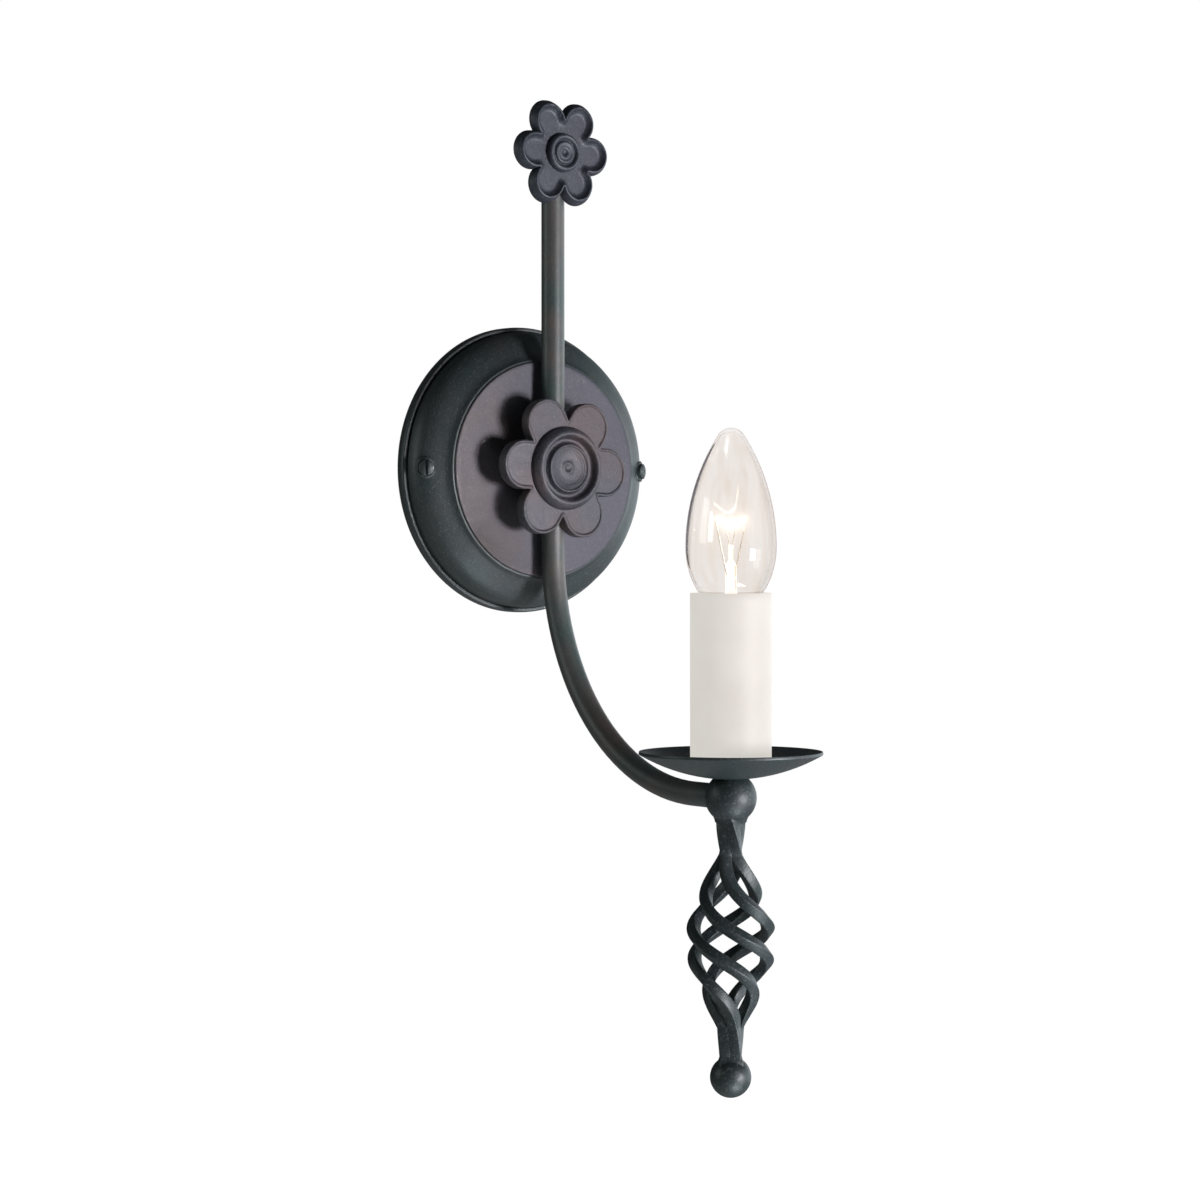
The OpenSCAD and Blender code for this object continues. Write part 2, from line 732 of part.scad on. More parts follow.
// Ringed boss: a round ring, a groove and a stepped middle with a dimple
module large_flower_boss() {
    ring_r = 1.5;                        // round top of the ring
    ring_at = boss_d / 2 - 2.9 - ring_r + 0.6;
    middle_r = ring_at - ring_r - 1.7;
    middle_h = boss_h - 1.1;
    groove_h = boss_h - 2.7;
    color(iron) outward() translate([0, 0, boss_seat]) difference() {
        rotate_extrude() polygon(concat(
            [[0, 0], [boss_d / 2, 0], [boss_d / 2 - 0.5, 1.2]],
            arc([ring_at, boss_h - ring_r], ring_r, 20, 160, 6),
            [[ring_at - ring_r, groove_h], [middle_r + 0.3, groove_h],
             [middle_r, middle_h - 0.3], [middle_r - 0.3, middle_h],
             [middle_r - 2.3, middle_h], [middle_r - 2.8, middle_h - 0.35],
             [3.4, middle_h - 0.35], [2.9, middle_h - 0.7], [1.3, middle_h - 0.7],
             [0, middle_h - 1.3]]));
        translate([0, 0, -1]) cylinder(d = flower_stud_d + 2 * thread_gap, h = 2.4);
    }
}

module flower_stud(z, top) {
    color(steel) translate([0, 0, z]) outward()
        translate([0, 0, tube_front - flower_stud_in])
            cylinder(d = flower_stud_d, h = top - tube_front + flower_stud_in);
}
module large_flower_stud() { flower_stud(0, boss_seat + 1.2); }
module small_flower_stud() { flower_stud(small_flower_z, small_boss_seat + 1.2); }

module small_flower() {
    spoon_rim_r = small_petal_r - small_petal_rim;
    spoon_r = (spoon_rim_r * spoon_rim_r + spoon_depth * spoon_depth) / (2 * spoon_depth);
    color(iron) translate([0, 0, small_flower_z]) outward() difference() {
        translate([0, 0, flower_back])
            petals(small_petal_at, small_petal_r, small_petal_side, small_flower_t,
                small_edge_cut, small_edge_step);
        for (i = [0:5]) rotate([0, 0, 60 * i])
            translate([small_petal_at, 0, small_front - spoon_depth + spoon_r])
                sphere(r = spoon_r);
        translate([0, 0, small_boss_seat]) cylinder(r = small_floor_r, h = small_flower_t);
        flower_seat();
    }
}

module small_flower_boss() {
    foot_r = small_boss_d / 2;
    ring_r = 1.2;
    ring_at = foot_r - 0.9 - ring_r;
    color(iron) translate([0, 0, small_flower_z]) outward()
        translate([0, 0, small_boss_seat]) difference() {
            rotate_extrude() polygon(concat(
                [[0, 0], [foot_r, 0], [foot_r - 0.4, small_boss_h - ring_r]],
                arc([ring_at, small_boss_h - ring_r], ring_r, 20, 160, 6),
                [[ring_at - ring_r - 0.1, small_boss_h - 1.2],
                 [ring_at - ring_r - 0.5, small_boss_h - 1.2],
                 [ring_at - ring_r - 0.9, small_boss_h - 0.4],
                 [3.4, small_boss_h - 0.4], [2.9, small_boss_h - 0.7],
                 [1.4, small_boss_h - 0.7], [0, small_boss_h - 1.1]]));
            translate([0, 0, -1]) cylinder(d = flower_stud_d + 2 * thread_gap, h = 2.4);
        }
}

// ---- Lamp stem ----

module joint_ball() {
    color(iron) on_stem() difference() {
        sphere(r = ball_r);
        translate([0, 0, ball_flat]) cylinder(r = ball_r, h = ball_r);
        translate([0, arm_reach - ball_socket_out, 0]) rotate([-90, 0, 0])
            cylinder(r = tube_r + seat_gap, h = ball_r);
        translate([0, arm_reach - ball_socket_out + 0.1, 0]) rotate([90, 0, 0])
            cylinder(r = tube_bore_r, h = arm_reach - ball_socket_out + tube_bore_r);
        cylinder(r = nipple_r, h = ball_r);
        rotate([0, 0, bar_angle(bars_top) + 45])
            translate([-socket_w / 2, -socket_w / 2, -ball_d])
                cube([socket_w, socket_w, ball_d + bars_top]);
    }
}

module threaded_nipple() {
    color(steel) on_stem()
        ring(nipple_r - thread_gap, nipple_bore / 2, nipple_foot, nipple_top);
}

module drip_pan() {
    color(iron) on_stem() difference() {
        intersection() {
            translate([0, 0, pan_centre]) sphere(r = pan_curve, $fn = 128);
            translate([0, 0, pan_bottom]) cylinder(d = pan_d, h = pan_inside(pan_d / 2) - pan_bottom);
        }
        intersection() {
            translate([0, 0, pan_centre]) sphere(r = pan_curve - pan_wall, $fn = 128);
            translate([0, 0, pan_floor]) cylinder(d = pan_d + 2, h = pan_d);
        }
        cylinder(r = nipple_r, h = pan_d);
    }
}

module nipple_nut() {
    color(steel) on_stem() nut(nipple_nut_af, nipple_r, pan_floor, nut_top);
}

// ---- Lampholder ----

module lampholder_cup() {
    color("#f2efe6") on_stem() difference() {
        translate([0, 0, nut_top]) cylinder(r = guide_r, h = holder_cup_h);
        translate([0, 0, nut_top + cup_floor]) cylinder(r = guide_r - cup_wall, h = holder_cup_h);
        translate([0, 0, nut_top - 1]) cylinder(r = nipple_r, h = cup_floor + 2);
    }
}

module lampholder_barrel() {
    ring_top = holder_top - guide_ring_drop;
    color("#f2efe6") on_stem() difference() {
        union() {
            translate([0, 0, cup_top - spigot_h]) cylinder(r = spigot_r, h = spigot_h + 0.01);
            translate([0, 0, cup_top]) cylinder(r = guide_r, h = 2);
            translate([0, 0, cup_top]) cylinder(r = holder_r, h = holder_h);
            translate([0, 0, ring_top - guide_ring_h]) cylinder(r = guide_r, h = guide_ring_h);
        }
        translate([0, 0, cup_top - spigot_h - 1])
            cylinder(r = chamber_r, h = floor_low - cup_top + spigot_h + 1);
        translate([0, 0, floor_high]) cylinder(r = shell_r + seat_gap, h = holder_h);
        for (side = [-1, 1]) translate([side * rivet_x(side), 0, floor_low - 1])
            cylinder(r = rivet_r + seat_gap, h = floor_high - floor_low + 2);
    }
}

// The live rivet holds the contact spring, the neutral one the screw shell
rivet_r = 1;
rivet_head_r = 1.8;
rivet_head_h = 0.6;
function rivet_x(side) = side > 0 ? 2.2 : 5.2;

module screw_shell() {
    waves = floor((shell_top - floor_high - 4) / cap_pitch);
    color(brass) on_stem() difference() {
        union() {
            ring(shell_r, 4.2, floor_high, floor_high + shell_wall);
            ring(shell_r, shell_r - shell_wall, floor_high, shell_top);
        }
        translate([-rivet_x(-1), 0, floor_high - 1]) cylinder(r = rivet_r + seat_gap, h = 2);
        for (i = [0:waves - 1]) translate([0, 0, floor_high + 3 + i * cap_pitch])
            rotate_extrude() translate([shell_r - shell_wall, 0]) circle(r = 0.2, $fn = 16);
    }
}

module contact_spring() {
    leaf_t = 0.4;
    leaf_w = 3.2;
    foot = floor_high + leaf_t;
    color(brass) on_stem() {
        translate([rivet_x(1) - 1.8, -leaf_w / 2, floor_high]) cube([3.4, leaf_w, leaf_t]);
        translate([0, leaf_w / 2, 0]) rotate([90, 0, 0]) linear_extrude(leaf_w) polygon([
            [rivet_x(1) + 1.6 - leaf_t, floor_high], [rivet_x(1) + 1.6, floor_high],
            [rivet_x(1) + 1.6, floor_high + 1.2], [0.6, contact_z - 0.1],
            [-2.2, contact_z - 0.1], [-2.6, contact_z - 0.7], [-2.2, contact_z - 0.7 - leaf_t * 0.2],
            [-1.9, contact_z - 0.1 - leaf_t], [0.4, contact_z - 0.1 - leaf_t],
            [rivet_x(1) + 1.6 - leaf_t, floor_high + 1.2 - leaf_t * 0.4]]);
        translate([rivet_x(1), 0, floor_low - 0.01])
            cylinder(r = rivet_r, h = foot - floor_low + 0.01);
    }
}

// Two brass posts under the insulating floor, each with its clamping screw
module holder_terminals() {
    color(brass) on_stem() for (side = [-1, 1]) difference() {
        translate([side * post_x - post_w / 2, -post_w / 2, floor_low - post_h])
            cube([post_w, post_w, post_h]);
        translate([side * post_x, 0, floor_low - post_h - 1])
            cylinder(d = post_bore, h = post_h - 1);
        translate([side * post_x, 0, floor_low - post_h + 2.6]) rotate([90, 0, 0])
            cylinder(d = terminal_screw_d, h = post_w);
    }
    color(steel) on_stem() for (side = [-1, 1])
        translate([side * post_x, 0, floor_low - post_h + 2.6]) rotate([90, 0, 0])
            translate([0, 0, core_d / 2 + seat_gap]) difference() {
                cylinder(d = terminal_screw_d - 2 * thread_gap, h = post_w / 2 + 0.4);
                translate([-0.3, -2, post_w / 2 - 0.3]) cube([0.6, 4, 1]);
            }
}

module candle_sleeve() {
    color(ivory) on_stem() ring(sleeve_r, sleeve_bore_r, sleeve_foot, sleeve_foot + sleeve_len);
}

// ---- Lamp ----

// Half section of the lamp's glass from the tip down to the cap, pushed in by w
function glass_line(w) =
    let (tip_angle = atan2(lamp_shoulder - tip_r, -side_centre))
    concat(
        arc([0, lamp_tip - tip_r], tip_r - w, 90, tip_angle, 5),
        [for (i = [1:14]) let (a = tip_angle * (1 - i / 14))
            [side_centre, lamp_wide] + (lamp_side_r - w) * [cos(a), sin(a)]],
        [for (i = [1:8]) let (a = -glass_cone_angle * i / 8)
            [base_centre, lamp_wide] + (lamp_base_r - w) * [cos(a), sin(a)]],
        [[glass_neck_r - w, cap_top + 0.3], [glass_neck_r - w, glass_foot]]);

module lamp_glass() {
    outer = glass_line(0);
    inner = glass_line(glass_wall);
    color([0.95, 0.95, 0.9, 0.35]) on_stem() rotate_extrude()
        polygon(concat(outer, [for (i = [len(inner) - 1:-1:0]) inner[i]]));
}

module lamp_cap() {
    turns = 5;
    thread_top = cap_foot + 0.8 + turns * cap_pitch;
    color(brass) on_stem() rotate_extrude() polygon(concat(
        [[cap_neck_r - cap_wall - 0.6, cap_foot], [cap_neck_r, cap_foot]],
        [for (i = [0:turns - 1], s = [0:5])
            let (z = cap_foot + 0.8 + (i + s / 6) * cap_pitch)
            [cap_neck_r + (cap_r - cap_neck_r) * (1 - cos(60 * s)) / 2, z]],
        [[cap_neck_r, thread_top], [cap_neck_r, cap_top - skirt_h],
         [skirt_r, cap_top - skirt_edge], [skirt_r, cap_top],
         [skirt_r - cap_wall, cap_top], [skirt_r - cap_wall, cap_top - skirt_edge],
         [cap_neck_r - cap_wall, cap_top - skirt_h], [cap_neck_r - cap_wall - 0.6, cap_foot + 1]]));
}

module lamp_insulator() {
    color("#1c1a1c") on_stem() translate([0, 0, contact_z + contact_h])
        cylinder(r1 = contact_r + 0.4, r2 = cap_neck_r - 0.2, h = cap_foot - contact_z - contact_h);
}

module lamp_contact() {
    color(steel) on_stem() translate([0, 0, contact_z])
        cylinder(r1 = contact_r - 0.6, r2 = contact_r, h = contact_h);
}

// The glass mount: a flare fused into the neck, with channels for its wires
module lamp_stem() {
    color([0.95, 0.95, 0.9, 0.5]) on_stem() difference() {
        rotate_extrude() polygon([
            [0, stem_foot], [stem_flare_r, stem_foot], [stem_flare_r, stem_foot + 1],
            [stem_r + 2, stem_foot + 4], [stem_r + 0.6, stem_foot + 8], [stem_r, stem_foot + 12],
            [stem_r, stem_top - 3], [0.9, stem_top - 1], [0.9, stem_top + 5], [0, stem_top + 5]]);
        leads(lead_r + seat_gap);
        supports(support_r + seat_gap);
    }
}

// A straight round wire from one point to another
module wire(from, to, r) {
    run = to - from;
    translate(from) rotate([0, acos(run[2] / norm(run)), atan2(run[1], run[0])])
        cylinder(r = r, h = norm(run));
}

module leads(r) {
    for (side = [-1, 1])
        wire([side * lead_foot_x, 0, stem_top - 8],
            [side * (lead_top_x + filament_r), 0, lead_top], r);
}

module supports(r) {
    for (side = [-1, 1])
        wire([side * 0.4, 0, stem_top + 4],
            [side * support_x, 0, support_top - filament_r - seat_gap], r);
}

module lamp_leads() { color(steel) on_stem() leads(lead_r); }
module filament_supports() { color(steel) on_stem() supports(support_r); }

module lamp_filament() {
    end_z = lead_top + filament_r + 2 * seat_gap;
    color("#ffd9a0") on_stem() tube_along([
        [-lead_top_x, 0, end_z], [-support_x, 0, support_top],
        [support_x, 0, support_top], [lead_top_x, 0, end_z]], filament_r, 8);
}

// ---- Cores ----

// A smooth line through hand-set points, with n steps between neighbours
function spline(p, n) = concat([for (i = [1:len(p) - 3], s = [0:n - 1])
    let (t = s / n, a = p[i - 1], b = p[i], c = p[i + 1], d = p[i + 2])
    0.5 * (2 * b + (c - a) * t + (2 * a - 5 * b + 4 * c - d) * t * t
        + (3 * b - a - 3 * c + d) * t * t * t)], [p[len(p) - 2]]);

// A round tube along a line of points, its rings carried along without twist
module tube_along(line, r, sides) {
    n = len(line);
    tangents = [for (i = [0:n - 1])
        unit(line[min(i + 1, n - 1)] - line[max(i - 1, 0)])];
    start = unit(cross(tangents[0], abs(tangents[0][2]) < 0.9 ? [0, 0, 1] : [0, 1, 0]));
    normals = [for (i = 0, v = start; i < n; i = i + 1,
        v = i < n ? unit(v - (v * tangents[i]) * tangents[i]) : v) v];
    points = [for (i = [0:n - 1], s = [0:sides - 1])
        line[i] + r * (cos(360 * s / sides) * normals[i]
            + sin(360 * s / sides) * cross(tangents[i], normals[i]))];
    sides_faces = [for (i = [0:n - 2], s = [0:sides - 1], half = [0, 1])
        let (a = i * sides + s, b = i * sides + (s + 1) % sides)
        half == 0 ? [a, a + sides, b] : [b, a + sides, b + sides]];
    polyhedron(points, concat(sides_faces,
        [[for (s = [0:sides - 1]) s]],
        [[for (s = [sides - 1:-1:0]) (n - 1) * sides + s]]));
}

// One core from the terminal block, through stud and arm, up to its post
core_x = 1;
core_turn = 3;
module core(side) {
    x = side * core_x;
    in_block = spline([
        [block_x + 5.5, -barrel_out, side * pole_pitch / 2],
        [block_x + 3.5, -barrel_out, side * pole_pitch / 2],
        [block_x - 1, -barrel_out, side * pole_pitch / 2],
        [side > 0 ? 4.6 : 3.6, -barrel_out - 0.2, side * 3.1],
        [side > 0 ? 2.2 : 0.4, -barrel_out - 0.9, side * 1.4],
        [x, -stud_end + 1.2, 0],
        [x, -stud_end - 2, 0],
        [x, -stud_end - 4, 0]], 4);
    into_tube = [for (i = [0:6]) let (a = 15 * i)
        [x, -(tube_out - core_turn + core_turn * sin(a)), -core_turn + core_turn * cos(a)]];
    down_bend = [for (i = [0:18]) let (a = 5 * i)
        [x, -(bend_out - bend_r * cos(a)), tube_foot - bend_r * sin(a)]];
    up_nipple = [for (i = [0:6]) let (a = 15 * i)
        [x, -(arm_reach - core_turn + core_turn * sin(a)),
            -arm_drop + core_turn - core_turn * cos(a)]];
    to_post = spline([
        [x, -arm_reach, -arm_drop + nipple_top - 3],
        [x, -arm_reach, -arm_drop + nipple_top],
        [side * 2.6, -arm_reach, -arm_drop + nipple_top + 2.6],
        [side * (post_x - 1.2), -arm_reach, -arm_drop + floor_low - post_h - 3.6],
        [side * post_x, -arm_reach, -arm_drop + floor_low - post_h - 1],
        [side * post_x, -arm_reach, -arm_drop + floor_low - post_h + 4.5],
        [side * post_x, -arm_reach, -arm_drop + floor_low - post_h + 6]], 4);
    color(side > 0 ? "#6b3a1e" : "#2f5fa8")
        tube_along(concat(in_block, into_tube, down_bend, up_nipple, to_post), core_d / 2, 8);
}
module live_core() { core(1); }
module neutral_core() { core(-1); }

// The earth core from its screw on the bracket's leg to the tag on the stud
module earth_wire() {
    run_x = leg_x - strap_t - 2 * seat_gap - core_d / 2;
    run_z = earth_screw_d / 2 + core_d / 2 + 0.3;
    run_out = tag_out - core_d / 2 - 0.1;
    turn_x = run_x - 4.4;
    function under(x) = min(run_out, shoulder_y - (x - face_r) * tan(shoulder_slope)
        - cover_wall / cos(shoulder_slope) - core_d / 2 - rest_gap);
    color("#5f9e3a") tube_along(spline([
        [run_x, -earth_screw_out + 7, run_z],
        [run_x, -earth_screw_out + 4, run_z],
        [run_x, -leg_top + 1.8, run_z],
        [run_x - 1, -under(run_x - 1) + 1.4, run_z],
        [turn_x, -under(turn_x), run_z - 0.2],
        [(turn_x + tag_tail) / 2, -run_out, 1.4],
        [tag_tail, -run_out, 0],
        [stud_washer_d / 2 + 1.6, -run_out, 0],
        [stud_washer_d / 2, -run_out, 0]], 5), core_d / 2, 8);
}

// ---- Basket ----

// A square bar with worn corners along its place in the twist
module basket_bar(turn) {
    levels = concat(
        [for (i = [0:neck_steps - 1]) bars_top + (open_top - bars_top) * i / neck_steps],
        [for (i = [0:open_steps - 1]) open_top - basket_len * i / open_steps],
        [for (i = [0:neck_steps]) open_end + (bars_end - open_end) * i / neck_steps]);
    corner = bar_half - bar_edge;
    section = [[corner, bar_edge], [bar_edge, corner], [-bar_edge, corner], [-corner, bar_edge],
               [-corner, -bar_edge], [-bar_edge, -corner], [bar_edge, -corner], [corner, -bar_edge]];
    n = len(levels);
    sides = len(section);
    points = [for (i = [0:n - 1], s = [0:sides - 1])
        let (z = levels[i], p = bar_point(z, turn),
             level = i == 0 || i == n - 1,
             run = level ? [0, 0, -1]
                 : unit(bar_point(z - 0.05, turn) - bar_point(z + 0.05, turn)),
             out = unit([p[0], p[1], 0]),
             a = unit(out - (out * run) * run), b = cross(run, a))
        p + section[s][0] * a + section[s][1] * b];
    faces = concat(
        [for (i = [0:n - 2], s = [0:sides - 1], half = [0, 1])
            let (a = i * sides + s, b = i * sides + (s + 1) % sides)
            half == 0 ? [a, b, a + sides] : [b, b + sides, a + sides]],
        [[for (s = [sides - 1:-1:0]) s]],
        [[for (s = [0:sides - 1]) (n - 1) * sides + s]]);
    color(iron) on_stem() polyhedron(points, faces);
}
module basket_bar_1() { basket_bar(0); }
module basket_bar_2() { basket_bar(90); }
module basket_bar_3() { basket_bar(180); }
module basket_bar_4() { basket_bar(270); }

// A weld fillet between a ball and the bundle of bars below or above it
module weld(ball_z, r, up) {
    reach = bundle_corner + 0.5;
    foot = sqrt(r * r - reach * reach);
    middle = ball_z + (up ? 1 : -1) * (foot + weld_h / 2);
    hole_w = bundle_w + 2 * weld_gap;
    color(iron) on_stem() translate([0, 0, ball_z]) mirror([0, 0, up ? 0 : 1]) difference() {
        translate([0, 0, foot - 1]) cylinder(r1 = reach + 0.7, r2 = bundle_corner + 0.6, h = weld_h + 1);
        sphere(r = r + 0.01);
        rotate([0, 0, bar_angle(middle) + 45])
            translate([-hole_w / 2, -hole_w / 2, 0]) cube([hole_w, hole_w, 2 * r]);
    }
}
module upper_weld() { weld(0, ball_r, false); }
module lower_weld() { weld(end_ball_z, end_ball_r, true); }

module end_ball() {
    color(iron) on_stem() translate([0, 0, end_ball_z]) difference() {
        sphere(r = end_ball_r);
        rotate([0, 0, bar_angle(bars_end) + 45])
            translate([-socket_w / 2, -socket_w / 2, end_sink]) cube([socket_w, socket_w, end_ball_d]);
    }
}

wall_bracket();
earth_screw();
earth_washer();
earth_wire();
earth_tag();
terminal_block();
terminal_barrels();
terminal_screws();
terminal_block_screw();
backplate_cover();
side_screw_left();
side_screw_right();
arm_saddle();
hollow_stud();
stud_bush();
stud_washer();
stud_nut();
arm_tube();
tube_end_cap();
large_flower();
large_flower_boss();
large_flower_stud();
small_flower();
small_flower_boss();
small_flower_stud();
joint_ball();
threaded_nipple();
drip_pan();
nipple_nut();
lampholder_cup();
lampholder_barrel();
screw_shell();
contact_spring();
holder_terminals();
live_core();
neutral_core();
candle_sleeve();
lamp_glass();
lamp_cap();
lamp_insulator();
lamp_contact();
lamp_stem();
lamp_leads();
lamp_filament();
filament_supports();
basket_bar_1();
basket_bar_2();
basket_bar_3();
basket_bar_4();
upper_weld();
lower_weld();
end_ball();
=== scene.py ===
# %% [markdown]
# # A torch sconce in painted wrought iron
#
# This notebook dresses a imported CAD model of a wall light. The light has a round backplate,
# a bent tube arm with two flowers, a candle lamp on a drip pan, and a basket of four
# twisted bars below it. The CAD model gives the sizes and the places. Blender gives the
# look: finer shapes for what a smith forms by hand, and finishes made from nodes.

import bpy
import bmesh
import json
from math import atan2, cos, degrees, pi, radians, sin, sqrt
from mathutils import Matrix, Vector, noise
from mathutils.kdtree import KDTree

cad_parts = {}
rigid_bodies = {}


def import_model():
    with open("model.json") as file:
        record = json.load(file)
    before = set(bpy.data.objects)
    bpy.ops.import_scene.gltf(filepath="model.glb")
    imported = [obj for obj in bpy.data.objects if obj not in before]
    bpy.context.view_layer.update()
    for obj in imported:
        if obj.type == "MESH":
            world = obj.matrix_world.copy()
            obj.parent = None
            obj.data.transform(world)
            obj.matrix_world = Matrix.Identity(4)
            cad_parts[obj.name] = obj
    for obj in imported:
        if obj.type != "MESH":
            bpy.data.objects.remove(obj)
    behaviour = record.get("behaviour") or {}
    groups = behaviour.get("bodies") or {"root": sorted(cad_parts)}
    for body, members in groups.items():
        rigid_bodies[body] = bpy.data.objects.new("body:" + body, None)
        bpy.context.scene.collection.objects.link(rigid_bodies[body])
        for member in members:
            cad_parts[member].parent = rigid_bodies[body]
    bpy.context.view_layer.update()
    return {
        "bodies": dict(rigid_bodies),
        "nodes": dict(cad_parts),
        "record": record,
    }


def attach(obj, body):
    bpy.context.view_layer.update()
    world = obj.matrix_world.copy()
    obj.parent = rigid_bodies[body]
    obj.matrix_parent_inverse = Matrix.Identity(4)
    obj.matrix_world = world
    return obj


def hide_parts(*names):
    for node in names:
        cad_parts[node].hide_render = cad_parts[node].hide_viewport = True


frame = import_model()
nodes = frame["nodes"]
scene = bpy.context.scene

# %% [markdown]
# ## The camera
#
# A camera that copies a photograph needs the photograph's viewpoint and its lens. Both come
# from the picture: the plate is a circle seen as an ellipse, and the ratio of its two axes
# gives the angle. A long lens keeps upright lines parallel, as in a catalogue picture, so
# the camera stands more than a metre away.

# %% The camera at the photograph's angle
mm = 0.001
eye = Vector((-717.2, -1035.5, -34.2)) * mm
look = Vector((0.592, 0.806, -0.0164)).normalized()
right = look.cross(Vector((0, 0, 1))).normalized()
above = right.cross(look)

lens = bpy.data.cameras.new("catalogue_lens")
lens.lens = 89.31
lens.sensor_width = 36
lens.clip_start = 0.05
camera = bpy.data.objects.new("catalogue_camera", lens)
turned = Matrix((right, above, -look)).transposed().to_4x4()
camera.matrix_world = Matrix.Translation(eye) @ turned
scene.collection.objects.link(camera)
scene.camera = camera
print("camera looks", round(degrees(atan2(look.x, look.y)), 1), "degrees to the right of +Y")

# %% [markdown]
# ## Small helpers for the finishes
#
# Every finish below is a small tree of nodes. One function adds a node, sets its values and
# links its inputs, so that each finish reads as a list of steps. Colours are written as
# hex codes, as on a paint chart. Blender's shaders want linear light, so one function
# converts them. A noise texture repeats about once per 1 / scale metres, so one line
# turns the real width of a pattern in millimetres into its scale.

# %% Colour and node helpers
def chart_colour(code):
    """An sRGB hex code as linear red, green, blue and alpha."""
    parts = [int(code[i : i + 2], 16) / 255 for i in (1, 3, 5)]
    return [c / 12.92 if c <= 0.04045 else ((c + 0.055) / 1.055) ** 2.4 for c in parts] + [1]


def add_node(tree, kind, settings=None, links=None):
    """Adds one node, sets its values and links {input: (node, output)}."""
    node = tree.nodes.new(kind)
    for name, value in (settings or {}).items():
        if isinstance(name, int) or name in node.inputs:
            node.inputs[name].default_value = value
        else:
            setattr(node, name, value)
    for name, (source, output) in (links or {}).items():
        tree.links.new(source.outputs[output], node.inputs[name])
    return node


def new_finish(name):
    """A material with its tree, its shader and the object's own coordinates."""
    finish = bpy.data.materials.new(name)
    finish.use_nodes = True
    tree = finish.node_tree
    shader = tree.nodes["Principled BSDF"]
    place = add_node(tree, "ShaderNodeTexCoord")
    return finish, tree, shader, place


def wide(millimetres):
    """The texture scale at which a pattern is this wide."""
    return 1 / (millimetres * mm)


print("a 2 mm pattern has scale", wide(2))

# %% [markdown]
# ## Studio: background, floor and light
#
# The photograph is a cut-out on white, so the lens sees plain white, also through the glass.
# The iron sees the real studio, and its satin paint tells what was there: dark above and to
# the left, a white board to the right of the plate, and a pale table below. A picture of a
# studio could light the piece. A few nodes are easier to tune: they split a ray's
# direction into X (right) and Z (up), and a ramp on each makes one part of the room. Sharp
# mirror images see a warm grey room instead, or the bulb's edge would be lost in white.

# %% The world
def studio_world(dim=0.045, board=2.1, table=0.3):
    """A white background for the lens, and a dim room with a board and a table."""
    world = bpy.data.worlds.new("white_studio")
    world.use_nodes = True
    tree = world.node_tree
    sky = tree.nodes["Background"]
    out = tree.nodes["World Output"]
    place = add_node(tree, "ShaderNodeTexCoord")
    parts = add_node(tree, "ShaderNodeSeparateXYZ", links={"Vector": (place, "Generated")})
    side = add_node(tree, "ShaderNodeMapRange", {
        "From Min": 0.55, "From Max": 0.95, "To Max": board,
        "interpolation_type": "SMOOTHSTEP"}, {"Value": (parts, "X")})
    high = add_node(tree, "ShaderNodeMapRange", {
        "From Min": 0.55, "From Max": 0.1, "interpolation_type": "SMOOTHSTEP"},
        {"Value": (parts, "Z")})
    right_board = add_node(tree, "ShaderNodeMath", {"operation": "MULTIPLY"},
                           {0: (side, "Result"), 1: (high, "Result")})
    below = add_node(tree, "ShaderNodeMapRange", {
        "From Min": -0.1, "From Max": -0.6, "To Max": table}, {"Value": (parts, "Z")})
    paper = add_node(tree, "ShaderNodeMath", {"operation": "MAXIMUM"},
                     {0: (right_board, "Value"), 1: (below, "Result")})
    light = add_node(tree, "ShaderNodeMath", {"operation": "ADD", 1: dim},
                     {0: (paper, "Value")})
    tree.links.new(light.outputs["Value"], sky.inputs["Strength"])
    sky.inputs["Color"].default_value = chart_colour("#eef6fb")
    white = add_node(tree, "ShaderNodeBackground", {"Color": (1, 1, 1, 1), "Strength": 1.0})
    ray = add_node(tree, "ShaderNodeLightPath")
    seen = add_node(tree, "ShaderNodeMath", {"operation": "MAXIMUM"},
                    {0: (ray, "Is Camera Ray"), 1: (ray, "Is Transmission Ray")})
    mirrored = add_node(tree, "ShaderNodeBackground", {
        "Color": chart_colour("#b59a90"), "Strength": 0.9})
    sharp = add_node(tree, "ShaderNodeMixShader", links={
        0: (ray, "Is Singular Ray"), 1: (sky, "Background"), 2: (mirrored, "Background")})
    mix = add_node(tree, "ShaderNodeMixShader", links={
        0: (seen, "Value"), 1: (sharp, "Shader"), 2: (white, "Background")})
    tree.links.new(mix.outputs["Shader"], out.inputs["Surface"])
    return world


scene.world = studio_world()
scene.view_settings.view_transform = "Standard"
scene.view_settings.look = "None"
print("world:", scene.world.name)

# %% [markdown]
# The light that matters most is one soft lamp a little to the right of the plate and a
# little below it, because the flower throws its shadow left and slightly up. A second lamp
# lights the undersides, and a weak one far to the left draws a light line along the rim.
# Area lamps are used for all three: their size sets how soft a shadow and a highlight are.

# %% The lamps of the studio
def soft_box(name, azimuth, height, distance, width, tall, power, colour="#ffffff"):
    """A rectangular lamp. Azimuth is to the right of the plate's front, in degrees."""
    box = bpy.data.lights.new(name, "AREA")
    box.shape = "RECTANGLE"
    box.size, box.size_y = width, tall
    box.energy = power
    box.color = chart_colour(colour)[:3]
    lamp = bpy.data.objects.new(name, box)
    a, e = radians(azimuth), radians(height)
    way = Vector((sin(a) * cos(e), -cos(a) * cos(e), sin(e)))
    lamp.location = Vector((0, -30 * mm, -20 * mm)) + way * distance
    lamp.rotation_euler = (-way).to_track_quat("-Z", "Y").to_euler()
    scene.collection.objects.link(lamp)
    return lamp


